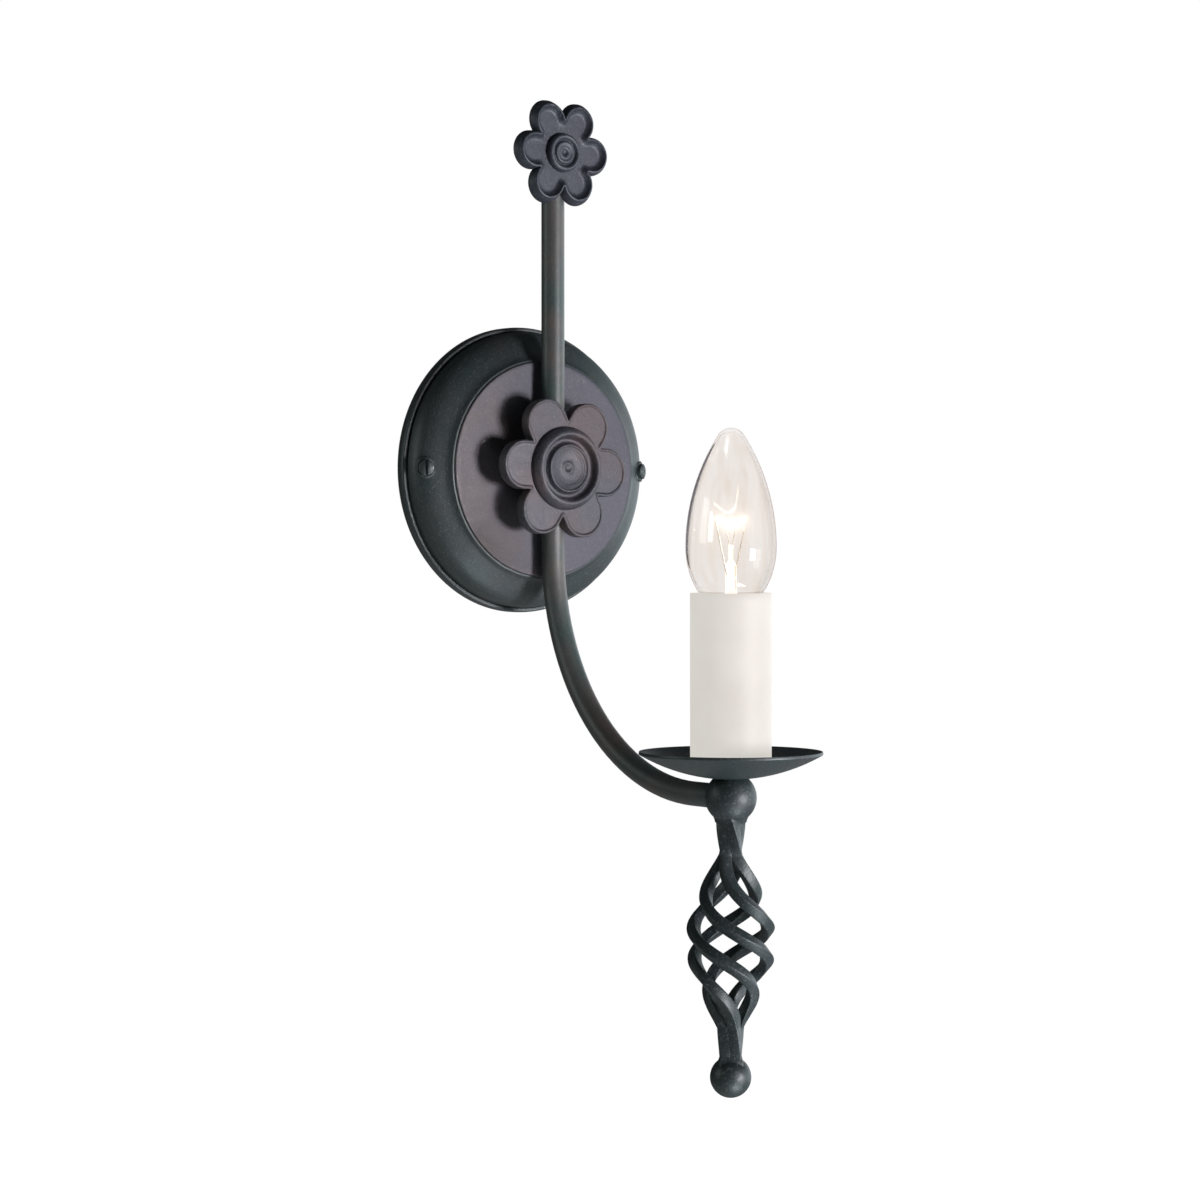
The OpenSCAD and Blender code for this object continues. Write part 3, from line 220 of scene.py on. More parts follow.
soft_box("key_box", 17.5, -9, 1.5, 0.34, 0.34, 23, "#fff9ff")
soft_box("table_box", 4, -52, 1.1, 0.4, 0.3, 5, "#f2f8ff")
soft_box("side_box", -112, 12, 1.6, 0.6, 0.6, 3.8, "#eef6f4")

# %% [markdown]
# The floor is a large pale sheet far below the light, as the light hangs on a wall. The
# lens sees it as full white, also through glass. For the iron it glows only a little, as
# white paper under studio lamps does, and sends soft light up from below.

# %% The floor
def pale_floor(height):
    mesh = bpy.data.meshes.new("floor_paper")
    half = 6
    corners = [(-half, -half), (half, -half), (half, half), (-half, half)]
    mesh.from_pydata([(x, y, height) for x, y in corners], [], [(0, 1, 2, 3)])
    floor = bpy.data.objects.new("floor_paper", mesh)
    scene.collection.objects.link(floor)
    finish, tree, shader, place = new_finish("white_paper")
    fibres = add_node(tree, "ShaderNodeTexNoise", {"Scale": wide(3), "Detail": 2},
                      {"Vector": (place, "Object")})
    tone = add_node(tree, "ShaderNodeMix", {"data_type": "RGBA", 6: chart_colour("#f1f0ee"),
                                            7: chart_colour("#f6f5f3")}, {0: (fibres, "Fac")})
    tree.links.new(tone.outputs[2], shader.inputs["Base Color"])
    shader.inputs["Roughness"].default_value = 0.9
    shader.inputs["Emission Color"].default_value = chart_colour("#ffffff")
    ray = add_node(tree, "ShaderNodeLightPath")
    seen = add_node(tree, "ShaderNodeMath", {"operation": "MAXIMUM"},
                    {0: (ray, "Is Camera Ray"), 1: (ray, "Is Transmission Ray")})
    glow = add_node(tree, "ShaderNodeMapRange", {"To Min": 0.12, "To Max": 1.0},
                    {"Value": (seen, "Value")})
    tree.links.new(glow.outputs["Result"], shader.inputs["Emission Strength"])
    mesh.materials.append(finish)
    return floor


floor = pale_floor(-1.6)
print("floor at", round(floor.data.vertices[0].co.z, 2), "m")

# %% [markdown]
# ## Graphite paint on iron
#
# The dark metal is iron with a textured graphite paint, sprayed and stoved. Such a paint is
# satin: it scatters a broad, soft highlight. Fine metallic grit in it makes small light
# specks, and a brown tone shows where it was rubbed by hand before the last coat. The grit is
# about 0.15 mm wide. That is finer than a pixel of the picture, so it's drawn at 0.7 to 1 mm.
#
# No two pieces were rubbed alike: the bars are still green-black and the tube is browner. The
# plate's face is brown at its left and bluish at its right, and its paint is a lighter, lilac
# copy, which is painted sheen where the face turns to the lamp. The tube's paint is also
# lighter than the rest, which is painted light on its shaded underside and left side. So one
# function paints them all, and its values say how far each one is worn and how light it is
# painted.

# %% The paint
def graphite_paint(name, cool="#1f2b2c", warm="#2b2a2b", rub=0.55, shine=0.48, grit=0.7,
                   relief=0.16, lean=0, cast="#eff7f6"):
    """Cool paint with warm rubbed patches. Grit and relief are in mm, and lean is how much
    warmer the left side is than the right. Cast tints the highlight."""
    finish, tree, shader, place = new_finish(name)
    clouds = add_node(tree, "ShaderNodeTexNoise", {"Scale": wide(28), "Detail": 3},
                      {"Vector": (place, "Object")})
    patch = add_node(tree, "ShaderNodeMapRange", {
        "From Min": 0.40, "From Max": 0.62, "To Max": rub}, {"Value": (clouds, "Fac")})
    across = add_node(tree, "ShaderNodeSeparateXYZ", links={"Vector": (place, "Object")})
    # Lean makes the colour warmer towards the left and cooler towards the right.
    warmest_x, coolest_x = -45 * mm, 30 * mm
    side = add_node(tree, "ShaderNodeMapRange", {
        "From Min": warmest_x, "From Max": coolest_x, "To Min": lean, "To Max": -lean},
        {"Value": (across, "X")})
    worn = add_node(tree, "ShaderNodeMath", {"operation": "ADD", "use_clamp": True},
                    {0: (patch, "Result"), 1: (side, "Result")})
    tone = add_node(tree, "ShaderNodeMix", {
        "data_type": "RGBA", 6: chart_colour(cool), 7: chart_colour(warm)},
        {0: (worn, "Value")})
    specks = add_node(tree, "ShaderNodeTexNoise", {"Scale": wide(grit), "Detail": 1},
                      {"Vector": (place, "Object")})
    light = add_node(tree, "ShaderNodeMapRange", {
        "From Min": 0.58, "From Max": 0.78, "To Max": 0.5}, {"Value": (specks, "Fac")})
    grain = add_node(tree, "ShaderNodeMix", {"data_type": "RGBA", 7: chart_colour("#66686c")},
                     {0: (light, "Result"), 6: (tone, 2)})
    tree.links.new(grain.outputs[2], shader.inputs["Base Color"])
    rough = add_node(tree, "ShaderNodeMapRange", {
        "To Min": shine - 0.05, "To Max": shine + 0.07}, {"Value": (clouds, "Fac")})
    tree.links.new(rough.outputs["Result"], shader.inputs["Roughness"])
    waves = add_node(tree, "ShaderNodeTexNoise", {"Scale": wide(4), "Detail": 3},
                     {"Vector": (place, "Object")})
    height = add_node(tree, "ShaderNodeMath", {"operation": "MULTIPLY_ADD", 1: 0.35},
                      {0: (specks, "Fac"), 2: (waves, "Fac")})
    bump = add_node(tree, "ShaderNodeBump", {"Strength": 0.75, "Distance": relief * mm},
                    {"Height": (height, "Value")})
    tree.links.new(bump.outputs["Normal"], shader.inputs["Normal"])
    shader.inputs["Specular IOR Level"].default_value = 0.8
    shader.inputs["Specular Tint"].default_value = chart_colour(cast)
    return finish


iron = graphite_paint("graphite_textured_paint")
# Painted sheen: the face's paint is lighter and lilac, for the satin shine of the face that
# turns to the lamp.
sheen_painted_face_iron = graphite_paint("graphite_paint_rubbed_with_painted_sheen_on_the_face", cool="#31343f",
                           warm="#453930", rub=0.5, shine=0.57, lean=0.5,
                           cast="#fbf9ff")
cast_iron = graphite_paint("graphite_paint_rubbed_on_castings", cool="#2a2e35",
                           warm="#463835", rub=0.75, shine=0.56, grit=0.9,
                           relief=0.3, cast="#fbf9ff")
small_iron = graphite_paint("graphite_paint_bluish_on_the_small_flower", cool="#232a31",
                            warm="#2f2f38", rub=0.6, shine=0.52, cast="#f1f5ff")
# Painted light: the tube's paint is lighter than the other iron, to lift its shaded underside
# and left side.
tube_iron_with_painted_light = graphite_paint("graphite_paint_rubbed_with_painted_light_on_the_tube", cool="#364543",
                           warm="#66524e", rub=0.5, shine=0.46)
bar_iron = graphite_paint("graphite_paint_on_forged_bars", cool="#182424", warm="#21262d",
                          rub=0.5, shine=0.49, grit=1.0, relief=0.2)
paints = [iron, sheen_painted_face_iron, cast_iron, small_iron, tube_iron_with_painted_light, bar_iron]
print("paints:", [finish.name for finish in paints])

# %% [markdown]
# ## Plated and bare metals
#
# Screws, nuts and the strap are zinc-plated steel, the terminals are turned brass, and the
# lamp's cap is nickel-plated brass. Metals have no colour of their own under the shine: the
# base colour tints the reflection, and metallic is 1. Plating is never even, so a noise
# moves the roughness, and fine turning marks show as a small bump.

# %% Metals
def bare_metal(name, colour, dull, shine, marks=0.8):
    finish, tree, shader, place = new_finish(name)
    shader.inputs["Metallic"].default_value = 1
    clouds = add_node(tree, "ShaderNodeTexNoise", {"Scale": wide(5), "Detail": 4},
                      {"Vector": (place, "Object")})
    tone = add_node(tree, "ShaderNodeMix", {
        "data_type": "RGBA", 6: chart_colour(colour), 7: chart_colour(dull)},
        {0: (clouds, "Fac")})
    tree.links.new(tone.outputs[2], shader.inputs["Base Color"])
    rough = add_node(tree, "ShaderNodeMapRange", {
        "To Min": shine, "To Max": shine + 0.16}, {"Value": (clouds, "Fac")})
    tree.links.new(rough.outputs["Result"], shader.inputs["Roughness"])
    lines = add_node(tree, "ShaderNodeTexNoise", {"Scale": wide(marks), "Detail": 2},
                     {"Vector": (place, "Object")})
    bump = add_node(tree, "ShaderNodeBump", {"Strength": 0.25, "Distance": 0.05 * mm},
                    {"Height": (lines, "Fac")})
    tree.links.new(bump.outputs["Normal"], shader.inputs["Normal"])
    return finish


zinc = bare_metal("zinc_plated_steel", "#c3c7cb", "#9da3a6", 0.28)
brass = bare_metal("turned_brass", "#c9a24e", "#a9843a", 0.22)
nickel = bare_metal("nickel_plate", "#cfc9bd", "#b3ada2", 0.16)
solder = bare_metal("tin_solder", "#b8b9b6", "#8f908d", 0.34)
print("metals:", zinc.name, brass.name, nickel.name, solder.name)

# %% [markdown]
# ## Plastics, card and wire covers
#
# The candle sleeve is a tube of card with an ivory coating. It's matt, lets some of the lamp's
# light through, and shows faint fibres. Light through thin card could come from the lamp
# itself, but that takes many samples. So the card glows by itself, which is painted light: it
# stands for the lamp's light through the card and also lifts the sleeve's shaded side. Its base
# colour is darker, and the glow and the base together make the ivory. The lampholder is
# thermoset plastic, the terminal block is white nylon, and the cores have a soft PVC cover. All
# of them have a slightly uneven tone and a fine bump from the mould, so one function makes
# them.

# %% Plastics
def moulded(name, colour, shade, shine, soft=0.0, texture=1.2, glow=0.0):
    """Soft is the share of light that goes in, and texture the bump's width in mm."""
    finish, tree, shader, place = new_finish(name)
    clouds = add_node(tree, "ShaderNodeTexNoise", {"Scale": wide(16), "Detail": 4},
                      {"Vector": (place, "Object")})
    tone = add_node(tree, "ShaderNodeMix", {
        "data_type": "RGBA", 6: chart_colour(colour), 7: chart_colour(shade)},
        {0: (clouds, "Fac")})
    tree.links.new(tone.outputs[2], shader.inputs["Base Color"])
    shader.inputs["Roughness"].default_value = shine
    shader.inputs["Subsurface Weight"].default_value = soft
    shader.inputs["Subsurface Scale"].default_value = 1.5 * mm
    # Glow is painted light: an emission that stands for light through the part and on its
    # shaded side.
    if glow:
        shader.inputs["Emission Strength"].default_value = glow
        lit = add_node(tree, "ShaderNodeMix", {
            "data_type": "RGBA", 6: chart_colour("#f5f2ec"), 7: chart_colour("#ebe4dc")},
            {0: (clouds, "Fac")})
        tree.links.new(lit.outputs[2], shader.inputs["Emission Color"])
    grain = add_node(tree, "ShaderNodeTexNoise", {"Scale": wide(texture), "Detail": 2},
                     {"Vector": (place, "Object")})
    bump = add_node(tree, "ShaderNodeBump", {"Strength": 0.2, "Distance": 0.05 * mm},
                    {"Height": (grain, "Fac")})
    tree.links.new(bump.outputs["Normal"], shader.inputs["Normal"])
    return finish


# Painted light: the card's glow stands for the lamp's light through it and lifts its shaded
# side.
ivory_card = moulded("ivory_coated_card_with_painted_glow", "#6c6862", "#645f5a", 0.6, soft=0.1, texture=0.9,
                     glow=0.72)
thermoset = moulded("thermoset_plastic", "#e9e4d8", "#ded8ca", 0.32)
nylon = moulded("white_nylon", "#efeee8", "#e3e1d9", 0.45, soft=0.2)
black_glass = moulded("black_cap_glass", "#0f0e12", "#17151a", 0.08)
live_cover = moulded("brown_pvc_cover", "#6b3a1e", "#5c3018", 0.4)
neutral_cover = moulded("blue_pvc_cover", "#2f5fa8", "#27528f", 0.4)
print("plastics:", ivory_card.name, thermoset.name, nylon.name)

# %% [markdown]
# The earth core has green and yellow stripes along its length. A wave texture draws
# bands, and a hard step turns the soft bands into two printed colours.

# %% The striped earth core
def striped_cover(name, first, second):
    finish, tree, shader, place = new_finish(name)
    stripes = add_node(tree, "ShaderNodeTexWave", {
        "bands_direction": "DIAGONAL", "Scale": wide(9), "Distortion": 0.6},
        {"Vector": (place, "Object")})
    step = add_node(tree, "ShaderNodeMapRange", {"From Min": 0.46, "From Max": 0.54},
                    {"Value": (stripes, "Fac")})
    tone = add_node(tree, "ShaderNodeMix", {
        "data_type": "RGBA", 6: chart_colour(first), 7: chart_colour(second)},
        {0: (step, "Result")})
    tree.links.new(tone.outputs[2], shader.inputs["Base Color"])
    shader.inputs["Roughness"].default_value = 0.42
    return finish


earth_cover = striped_cover("green_and_yellow_pvc_cover", "#3f8a3a", "#d9c63a")
print("earth core:", earth_cover.name)

# %% [markdown]
# ## Glass and the glowing wire
#
# The lamp's bulb is clear soda glass, 0.7 mm thick. Glass is a transmission shader with an
# index, which is 1.52 for the real one. The bulb's is set lower, because its edge came out
# darker than in the photograph. Its tint is faintly grey-brown, so that it reads against white,
# and brownish streaks along it are painted reflections. The stem glows a little: a painted glow
# that stands for the wire's light caught in the stem.
#
# The tungsten wire emits warm white light, and its tone is uneven, as a coil is hotter
# in the middle of its turns. It's too thin to be sampled as a lamp without grain, so it
# only shines to the eye.

# %% Glass and tungsten
def clear_glass(name, tint, index, painted_glow=0.0):
    """Glass with painted reflection streaks along Z. The last argument is a painted glow: how
    much of the wire's light the glass gives back.
    """
    finish, tree, shader, place = new_finish(name)
    ripples = add_node(tree, "ShaderNodeTexNoise", {"Scale": wide(14), "Detail": 1},
                       {"Vector": (place, "Object")})
    bump = add_node(tree, "ShaderNodeBump", {"Strength": 0.06, "Distance": 0.3 * mm},
                    {"Height": (ripples, "Fac")})
    tree.links.new(bump.outputs["Normal"], shader.inputs["Normal"])
    # Painted reflection: brownish streaks stretched along the bulb's axis.
    along_bulb = add_node(tree, "ShaderNodeMapping", {"Scale": (1, 1, 0.12)},
                     {"Vector": (place, "Object")})
    streaks = add_node(tree, "ShaderNodeTexNoise", {"Scale": wide(5), "Detail": 2},
                       {"Vector": (along_bulb, "Vector")})
    reflection_streak_mask = add_node(tree, "ShaderNodeMapRange", {"From Min": 0.46, "From Max": 0.74},
                      {"Value": (streaks, "Fac")})
    tone = add_node(tree, "ShaderNodeMix", {
        "data_type": "RGBA", 6: chart_colour(tint), 7: chart_colour("#f0eae4")},
        {0: (reflection_streak_mask, "Result")})
    tree.links.new(tone.outputs[2], shader.inputs["Base Color"])
    shader.inputs["Roughness"].default_value = 0.0
    shader.inputs["IOR"].default_value = index
    shader.inputs["Transmission Weight"].default_value = 1
    shader.inputs["Emission Color"].default_value = chart_colour("#fff3e2")
    shader.inputs["Emission Strength"].default_value = painted_glow
    return finish


def glowing_tungsten(name):
    finish, tree, shader, place = new_finish(name)
    hot = add_node(tree, "ShaderNodeTexNoise", {"Scale": wide(2), "Detail": 1},
                   {"Vector": (place, "Object")})
    tone = add_node(tree, "ShaderNodeMix", {
        "data_type": "RGBA", 6: chart_colour("#ffe2b8"), 7: chart_colour("#fff6e6")},
        {0: (hot, "Fac")})
    tree.links.new(tone.outputs[2], shader.inputs["Emission Color"])
    shader.inputs["Emission Strength"].default_value = 90
    shader.inputs["Base Color"].default_value = chart_colour("#4a4a4c")
    finish.cycles.emission_sampling = "NONE"
    return finish


bulb_glass = clear_glass("clear_soda_glass", "#f6f3f1", index=1.32)
# The stem's emission is painted light, for the wire's light caught in it.
stem_glass = clear_glass("lead_glass_stem_with_painted_glow", "#f6f0e8", index=1.4, painted_glow=0.45)
tungsten = glowing_tungsten("glowing_tungsten")
print("lamp:", bulb_glass.name, stem_glass.name, tungsten.name)

# %% [markdown]
# ## Building shapes in code
#
# Most pieces here are turned, spun or blown, so their shape is an outline that goes round an
# axis. The lathe below does that. It takes a function that says where the axis stands, so
# the same lathe serves the backplate, whose axis points out of the wall, and the candle,
# whose axis points up. Real edges are never knife sharp, so outlines are softened first.

# %% Where things stand
arm_reach, arm_drop = 144, 128.9    # the joint ball's centre, from the wall and down


def from_wall(x, out, z):
    """A point by its place on the plate and its distance out from the wall, in mm."""
    return Vector((x, -out, z)) * mm


def turned_on_wall(radius, out, turn):
    return from_wall(radius * cos(turn), out, radius * sin(turn))


def turned_on_stem(radius, up, turn):
    """A point round the lamp's axis, with up measured from the joint ball's centre."""
    return Vector((radius * cos(turn), -arm_reach + radius * sin(turn), up - arm_drop)) * mm


def from_ball(spot):
    """A point that is given in mm from the joint ball's centre."""
    return (spot + Vector((0, -arm_reach, -arm_drop))) * mm


def soften(outline, cut, steps=3):
    """Rounds each inner corner of an outline with a short curve."""
    points = [Vector(p) for p in outline]
    soft = [points[0]]
    for before, corner, after in zip(points, points[1:], points[2:]):
        a = corner + (before - corner) * min(0.5, cut / max((before - corner).length, 1e-6))
        b = corner + (after - corner) * min(0.5, cut / max((after - corner).length, 1e-6))
        for i in range(steps + 1):
            t = i / steps
            soft.append(a * (1 - t) ** 2 + corner * 2 * t * (1 - t) + b * t * t)
    return soft + [points[-1]]


print("joint ball's centre:", tuple(round(v, 4) for v in turned_on_stem(0, 0, 0)))

# %% [markdown]
# A mesh is a list of points and a list of faces. Turned, cast and twisted pieces can all be
# drawn as closed rings of points, so one helper joins each ring to the next with four-sided
# faces. Another turns the lists into a piece with its finish and its body.

# %% From points and faces to a piece
def new_piece(name, points, faces, finish, body, replaced=(), sharp=40):
    """Makes one piece, gives it its finish and its body, and hides the CAD nodes it shows."""
    mesh = bpy.data.meshes.new(name)
    mesh.from_pydata([tuple(p) for p in points], [], faces)
    work = bmesh.new()
    work.from_mesh(mesh)
    bmesh.ops.remove_doubles(work, verts=work.verts, dist=1e-7)
    bmesh.ops.recalc_face_normals(work, faces=work.faces)
    work.to_mesh(mesh)
    work.free()
    mesh.set_sharp_from_angle(angle=radians(sharp))
    mesh.materials.append(finish)
    piece = bpy.data.objects.new(name, mesh)
    scene.collection.objects.link(piece)
    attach(piece, body)
    if replaced:
        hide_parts(*replaced)
    return piece


def ring_rows(count, size):
    """The numbers of the points in rings that were added one after the other."""
    return [range(size * i, size * (i + 1)) for i in range(count)]


def bands(rings):
    """Faces from each closed ring to the next. A ring on an axis is one point, repeated."""
    faces = []
    for low, high in zip(rings, rings[1:]):
        for i in range(len(low)):
            j = (i + 1) % len(low)
            faces.append(tuple(dict.fromkeys((low[i], low[j], high[j], high[i]))))
    return faces


def lathe(outline, place, steps):
    """Points and faces of an outline of (radius, height) turned round an axis."""
    points, rings = [], []
    for radius, height in outline:
        if radius < 1e-6:
            rings.append([len(points)] * steps)
            points.append(place(0, height, 0))
        else:
            rings.append(list(range(len(points), len(points) + steps)))
            points += [place(radius, height, 2 * pi * i / steps) for i in range(steps)]
    return points, bands(rings)


root = list(frame["bodies"])[0]
print("fixed body:", root)

# %% [markdown]
# ## The spun backplate cover
#
# A disc of sheet is spun over a form on a lathe. The wheel leaves a flat raised face, a hollow
# sweep down to a round bend, a steep side, and a lip with a small bead that lies on the wall.
# The outline below follows the sheet from the middle to the rim and comes back on the inside,
# because the cover is a hollow shell. The face is hollow by half a millimetre, and it gets a
# second material: a lighter, lilac copy of the rubbed paint, which is painted sheen where the
# face turns to the lamp.

# %% The cover's outline
stud_hole, face_r, face_edge = 4.05, 44.2, 44.7
face = [(r, 20.1 + 0.5 * (r / face_r) ** 2)
        for r in (stud_hole, 10, 16, 22, 27, 31, 35, 38, 41, 43)]
cover_outside = face + [
    (44.2, 20.6), (44.6, 20.52), (44.8, 20.3), (44.85, 20.0), (44.87, 19.75), (44.95, 19.63),
    (45.05, 19.6), (45.6, 19.6), (45.75, 19.52), (46.0, 19.2), (46.4, 18.6), (47.1, 17.9),
    (48.2, 17.2), (49.5, 16.5), (50.9, 15.75), (52.3, 14.95), (53.7, 14.0), (55.1, 12.85),
    (56.3, 11.45), (57.15, 9.9), (57.65, 8.3), (57.85, 6.8), (57.95, 5.4), (58.0, 4.6),
    (58.05, 4.1), (58.15, 3.95), (58.25, 4.0), (58.32, 4.35), (58.42, 4.48), (58.52, 4.5),
    (59.4, 4.5), (59.55, 4.45), (59.8, 4.15), (59.95, 3.7), (60, 3.1), (60, 0.25),
    (59.8, 0.02)]
cover_inside = [
    (57.3, 0.02), (56.85, 0.4), (56.8, 6.4), (56.5, 8.0), (55.6, 10.2), (54.0, 12.2),
    (51.8, 13.8), (49.4, 14.8), (46.6, 15.7), (44.4, 17.2), (43.6, 19.0), (stud_hole, 18.9)]
points, faces = lathe(cover_outside + cover_inside + cover_outside[:1], turned_on_wall, 240)
cover = new_piece("spun_cover", points, faces, iron, root,
                  ["backplate_cover"], sharp=50)
# The face gets the second paint, whose lighter lilac colour is painted sheen.
cover.data.materials.append(sheen_painted_face_iron)
for polygon in cover.data.polygons:
    x, y, z = polygon.center / mm
    if -y > 20 and sqrt(x * x + z * z) < face_edge:
        polygon.material_index = 1
print("cover:", len(cover.data.vertices), "points")

# %% [markdown]
# ## The two side screws
#
# The cover hangs on two slotted screws that stand square on the bend, one on each side. A
# turned screw head is a low dome over a short straight edge, and the slot is milled
# through it. A cutter could mill the slot with a Boolean, but that leaves long thin faces.
# Here the head is a grid of columns along the slot, so the slot has real depth and
# catches shade. Paint has gathered round the foot in a thin collar.

# %% Slotted heads
seat_slope = radians(33)
seat_x, seat_out = 54.6, 13.75


def on_bend(side):
    """The frame of a side screw: its seat, its own direction and two directions across."""
    away = Vector((side * sin(seat_slope), -cos(seat_slope), 0))
    seat = from_wall(side * seat_x, seat_out, 0)
    across = Vector((side * cos(seat_slope), sin(seat_slope), 0))
    return seat, away, across, Vector((0, 0, 1))


def slotted_head(seat, away, across, along, bent, radius=3.2, dome=0.9, rise=1.4, slot=0.5,
                 deep=1.2):
    """A domed head in a collar of paint, in mm. Slot is half the slot's width and runs
    along the direction of that name. The collar follows the bend, which curves across bent."""
    points, faces, columns = [], [], []
    steps, bend_curve = 48, 14
    half = [0, slot * 0.98, slot, slot + 0.12]
    half += [radius * part for part in (0.45, 0.7, 0.88, 0.97, 1)]
    offsets = [-offset for offset in half[:0:-1]] + half
    for offset in offsets:
        reach = sqrt(max(radius * radius - offset * offset, 0.0001))
        column = []
        for i in range(steps + 1):
            t = -reach * cos(pi * i / steps)
            d = sqrt(offset * offset + t * t) / radius
            height = rise + dome * (1 - min(d, 1) ** 2.4)
            if abs(offset) < slot * 0.99:
                height = rise + dome - deep
            elif abs(offset) <= slot:
                height -= 0.04
            column.append(len(points))
            points.append(seat + (away * height + across * offset + along * t) * mm)
        columns.append(column)
    for low, high in zip(columns, columns[1:]):
        for i in range(steps):
            faces.append((low[i], high[i], high[i + 1], low[i + 1]))
    rings = []
    for wide_at, lift in ((radius + 0.02, None), (radius + 0.02, 0.0), (radius + 0.38, 0.02),
                          (radius + 0.42, 0.22), (radius + 0.55, 0.3), (radius + 0.75, 0.28),
                          (radius + 1.0, 0.12), (radius + 1.3, -0.2)):
        row = []
        for i in range(steps * 2):
            a = pi * i / steps
            flat = across * cos(a) + along * sin(a)
            off = wide_at * flat.dot(bent)
            height = rise if lift is None else 0.3 - off * off / bend_curve + lift
            row.append(len(points))
            points.append(seat + (flat * wide_at + away * height) * mm)
        rings.append(row)
    return points, faces + bands(rings)


for side, name in ((-1, "side_screw_left"), (1, "side_screw_right")):
    seat, away, bent, level = on_bend(side)
    across, along = (bent, level) if side < 0 else (level, bent)
    points, faces = slotted_head(seat, away, across, along, bent)
    screw = new_piece(name + "_head", points, faces, iron, root, [name], sharp=35)
    print(screw.name, "has", len(screw.data.vertices), "points")

# %% [markdown]
# ## The petals
#
# A cast flower is one plate whose edge has six round tongues. Its front is not flat: a thin
# rim runs all round, and inside it the plate is dished. Sculpting could do that, but the
# height at any point depends only on how far the point lies from the edge. So the flower is
# a fan of rings that shrink towards the middle, and one small function per flower turns
# the distance from the edge into a height. That distance has to be the true one, also
# between two petals, so a search tree finds the nearest point of the edge.

# %% Six petals
def petal_reach(turn, at, r, side):
    """Distance from the flower's middle to its edge in one direction. A petal ends in a
    round of radius r, at mm from the middle, and its flanks lie side mm from its axis."""
    best = 0
    for k in range(6):
        a = turn - k * pi / 3
        if cos(a) <= 0:
            continue
        s = abs(sin(a))
        if s > 1e-9 and side / s * cos(a) <= at:
            best = max(best, side / s)
        if at * s < r:
            best = max(best, at * cos(a) + sqrt(r * r - (at * s) ** 2))
    return best


def edge_finder(reach_of, steps=3600):
    """Makes a function that says how far a point inside the flower lies from its edge."""
    tree = KDTree(steps)
    for i in range(steps):
        a = 2 * pi * i / steps
        tree.insert((reach_of(a) * cos(a), reach_of(a) * sin(a), 0), i)
    tree.balance()
    return lambda x, y: tree.find((x, y, 0))[2]


def flower_mesh(at, r, side, back, height, centre_z, turn, inner, draft, steps=432):
    """Rings from the back, up the wall, over the rim and in to the hidden middle. Draft is
    how far the wall leans in, and inner the radius that the boss hides."""
    inset = [0, 0.06, 0.15, 0.28, 0.45, 0.65, 0.85, 1.05, 1.25, 1.5, 1.75, 2.05, 2.4, 2.8,
             3.3, 3.9, 4.6, 5.4, 6.3, 7.3]
    back_round, well_inside = 0.35, 9
    from_edge = edge_finder(lambda a: petal_reach(a, at, r, side) - draft)
    directions = [2 * pi * i / steps for i in range(steps)]
    edge = [(a, petal_reach(a, at, r, side)) for a in directions]
    spin, deep = radians(turn), height(well_inside)

    def place(a, radius, h):
        return from_wall(radius * cos(a + spin), back + h, centre_z + radius * sin(a + spin))

    rows = [[place(a, d - back_round, 0) for a, d in edge],
            [place(a, d, back_round) for a, d in edge]]
    for step in (0.4, 0.75):
        up = back_round + (height(0) - back_round) * step
        rows.append([place(a, d - draft * step * step, up) for a, d in edge])
    for shrink in inset:
        row = []
        for a, d in edge:
            radius = max(d - shrink - draft, inner)
            x, y = radius * cos(a), radius * sin(a)
            row.append(place(a, radius, height(from_edge(x, y))))
        rows.append(row)
    rows.append([place(a, inner, deep) for a in directions])
    points = [point for row in rows for point in row]
    rings = ring_rows(len(rows), steps)
    faces = bands(rings)
    for row, middle in ((rings[0], from_wall(0, back, centre_z)),
                        (rings[-1], from_wall(0, back + deep, centre_z))):
        hub = len(points)
        points.append(middle)
        faces += [(row[i], row[(i + 1) % steps], hub) for i in range(steps)]
    return points, faces


def eased(value, low, high):
    """A smooth step from 0 at low to 1 at high."""
    t = min(max((value - low) / (high - low), 0), 1)
    return t * t * (3 - 2 * t)


flower_back = 30.4    # both flowers stand this far out from the wall
print("a large petal reaches", round(petal_reach(0, 20.5, 10.1, 10.0), 2), "mm")

# %% [markdown]
# The large flower is 5.2 mm thick. Its rim is 1 mm wide and its dish only 0.5 mm deep, so
# the petals look flat with a thin light line round them. It's turned by 4 degrees on its
# stud, as the fitter left it.

# %% The large flower
def large_height(d):
    thick, rounding, dish = 5.2, 0.7, 0.5
    over = min(d, rounding)
    top = thick - rounding + sqrt(max(rounding ** 2 - (rounding - over) ** 2, 0))
    return top - dish * eased(d, 0.85, 1.55)


points, faces = flower_mesh(at=20.5, r=10.1, side=10.0, back=flower_back, height=large_height,
                            centre_z=0, turn=-4, inner=15.5, draft=0.05)
flower = new_piece("large_cast_flower", points, faces, cast_iron, root,
                   ["large_flower"], sharp=50)
print("large flower:", len(flower.data.vertices), "points")

# %% [markdown]
# The small flower is dished deeply, by 2.3 mm. Its petals are spoons that run together into
# one flat floor under the boss, and its edge leans in towards the front.

# %% The small flower
bud_up = 130.3    # the small flower's middle, above the plate's


def small_height(d):
    thick, bevel, bevel_rise, dish = 4.6, 0.8, 0.65, 2.3
    over = min(d, bevel)
    top = thick - bevel_rise + bevel_rise * sqrt(max(1 - (1 - over / bevel) ** 2, 0))
    fall = min(max((d - 0.9) / 2.4, 0), 1)
    return top - dish * (1 - (1 - fall) ** 2)


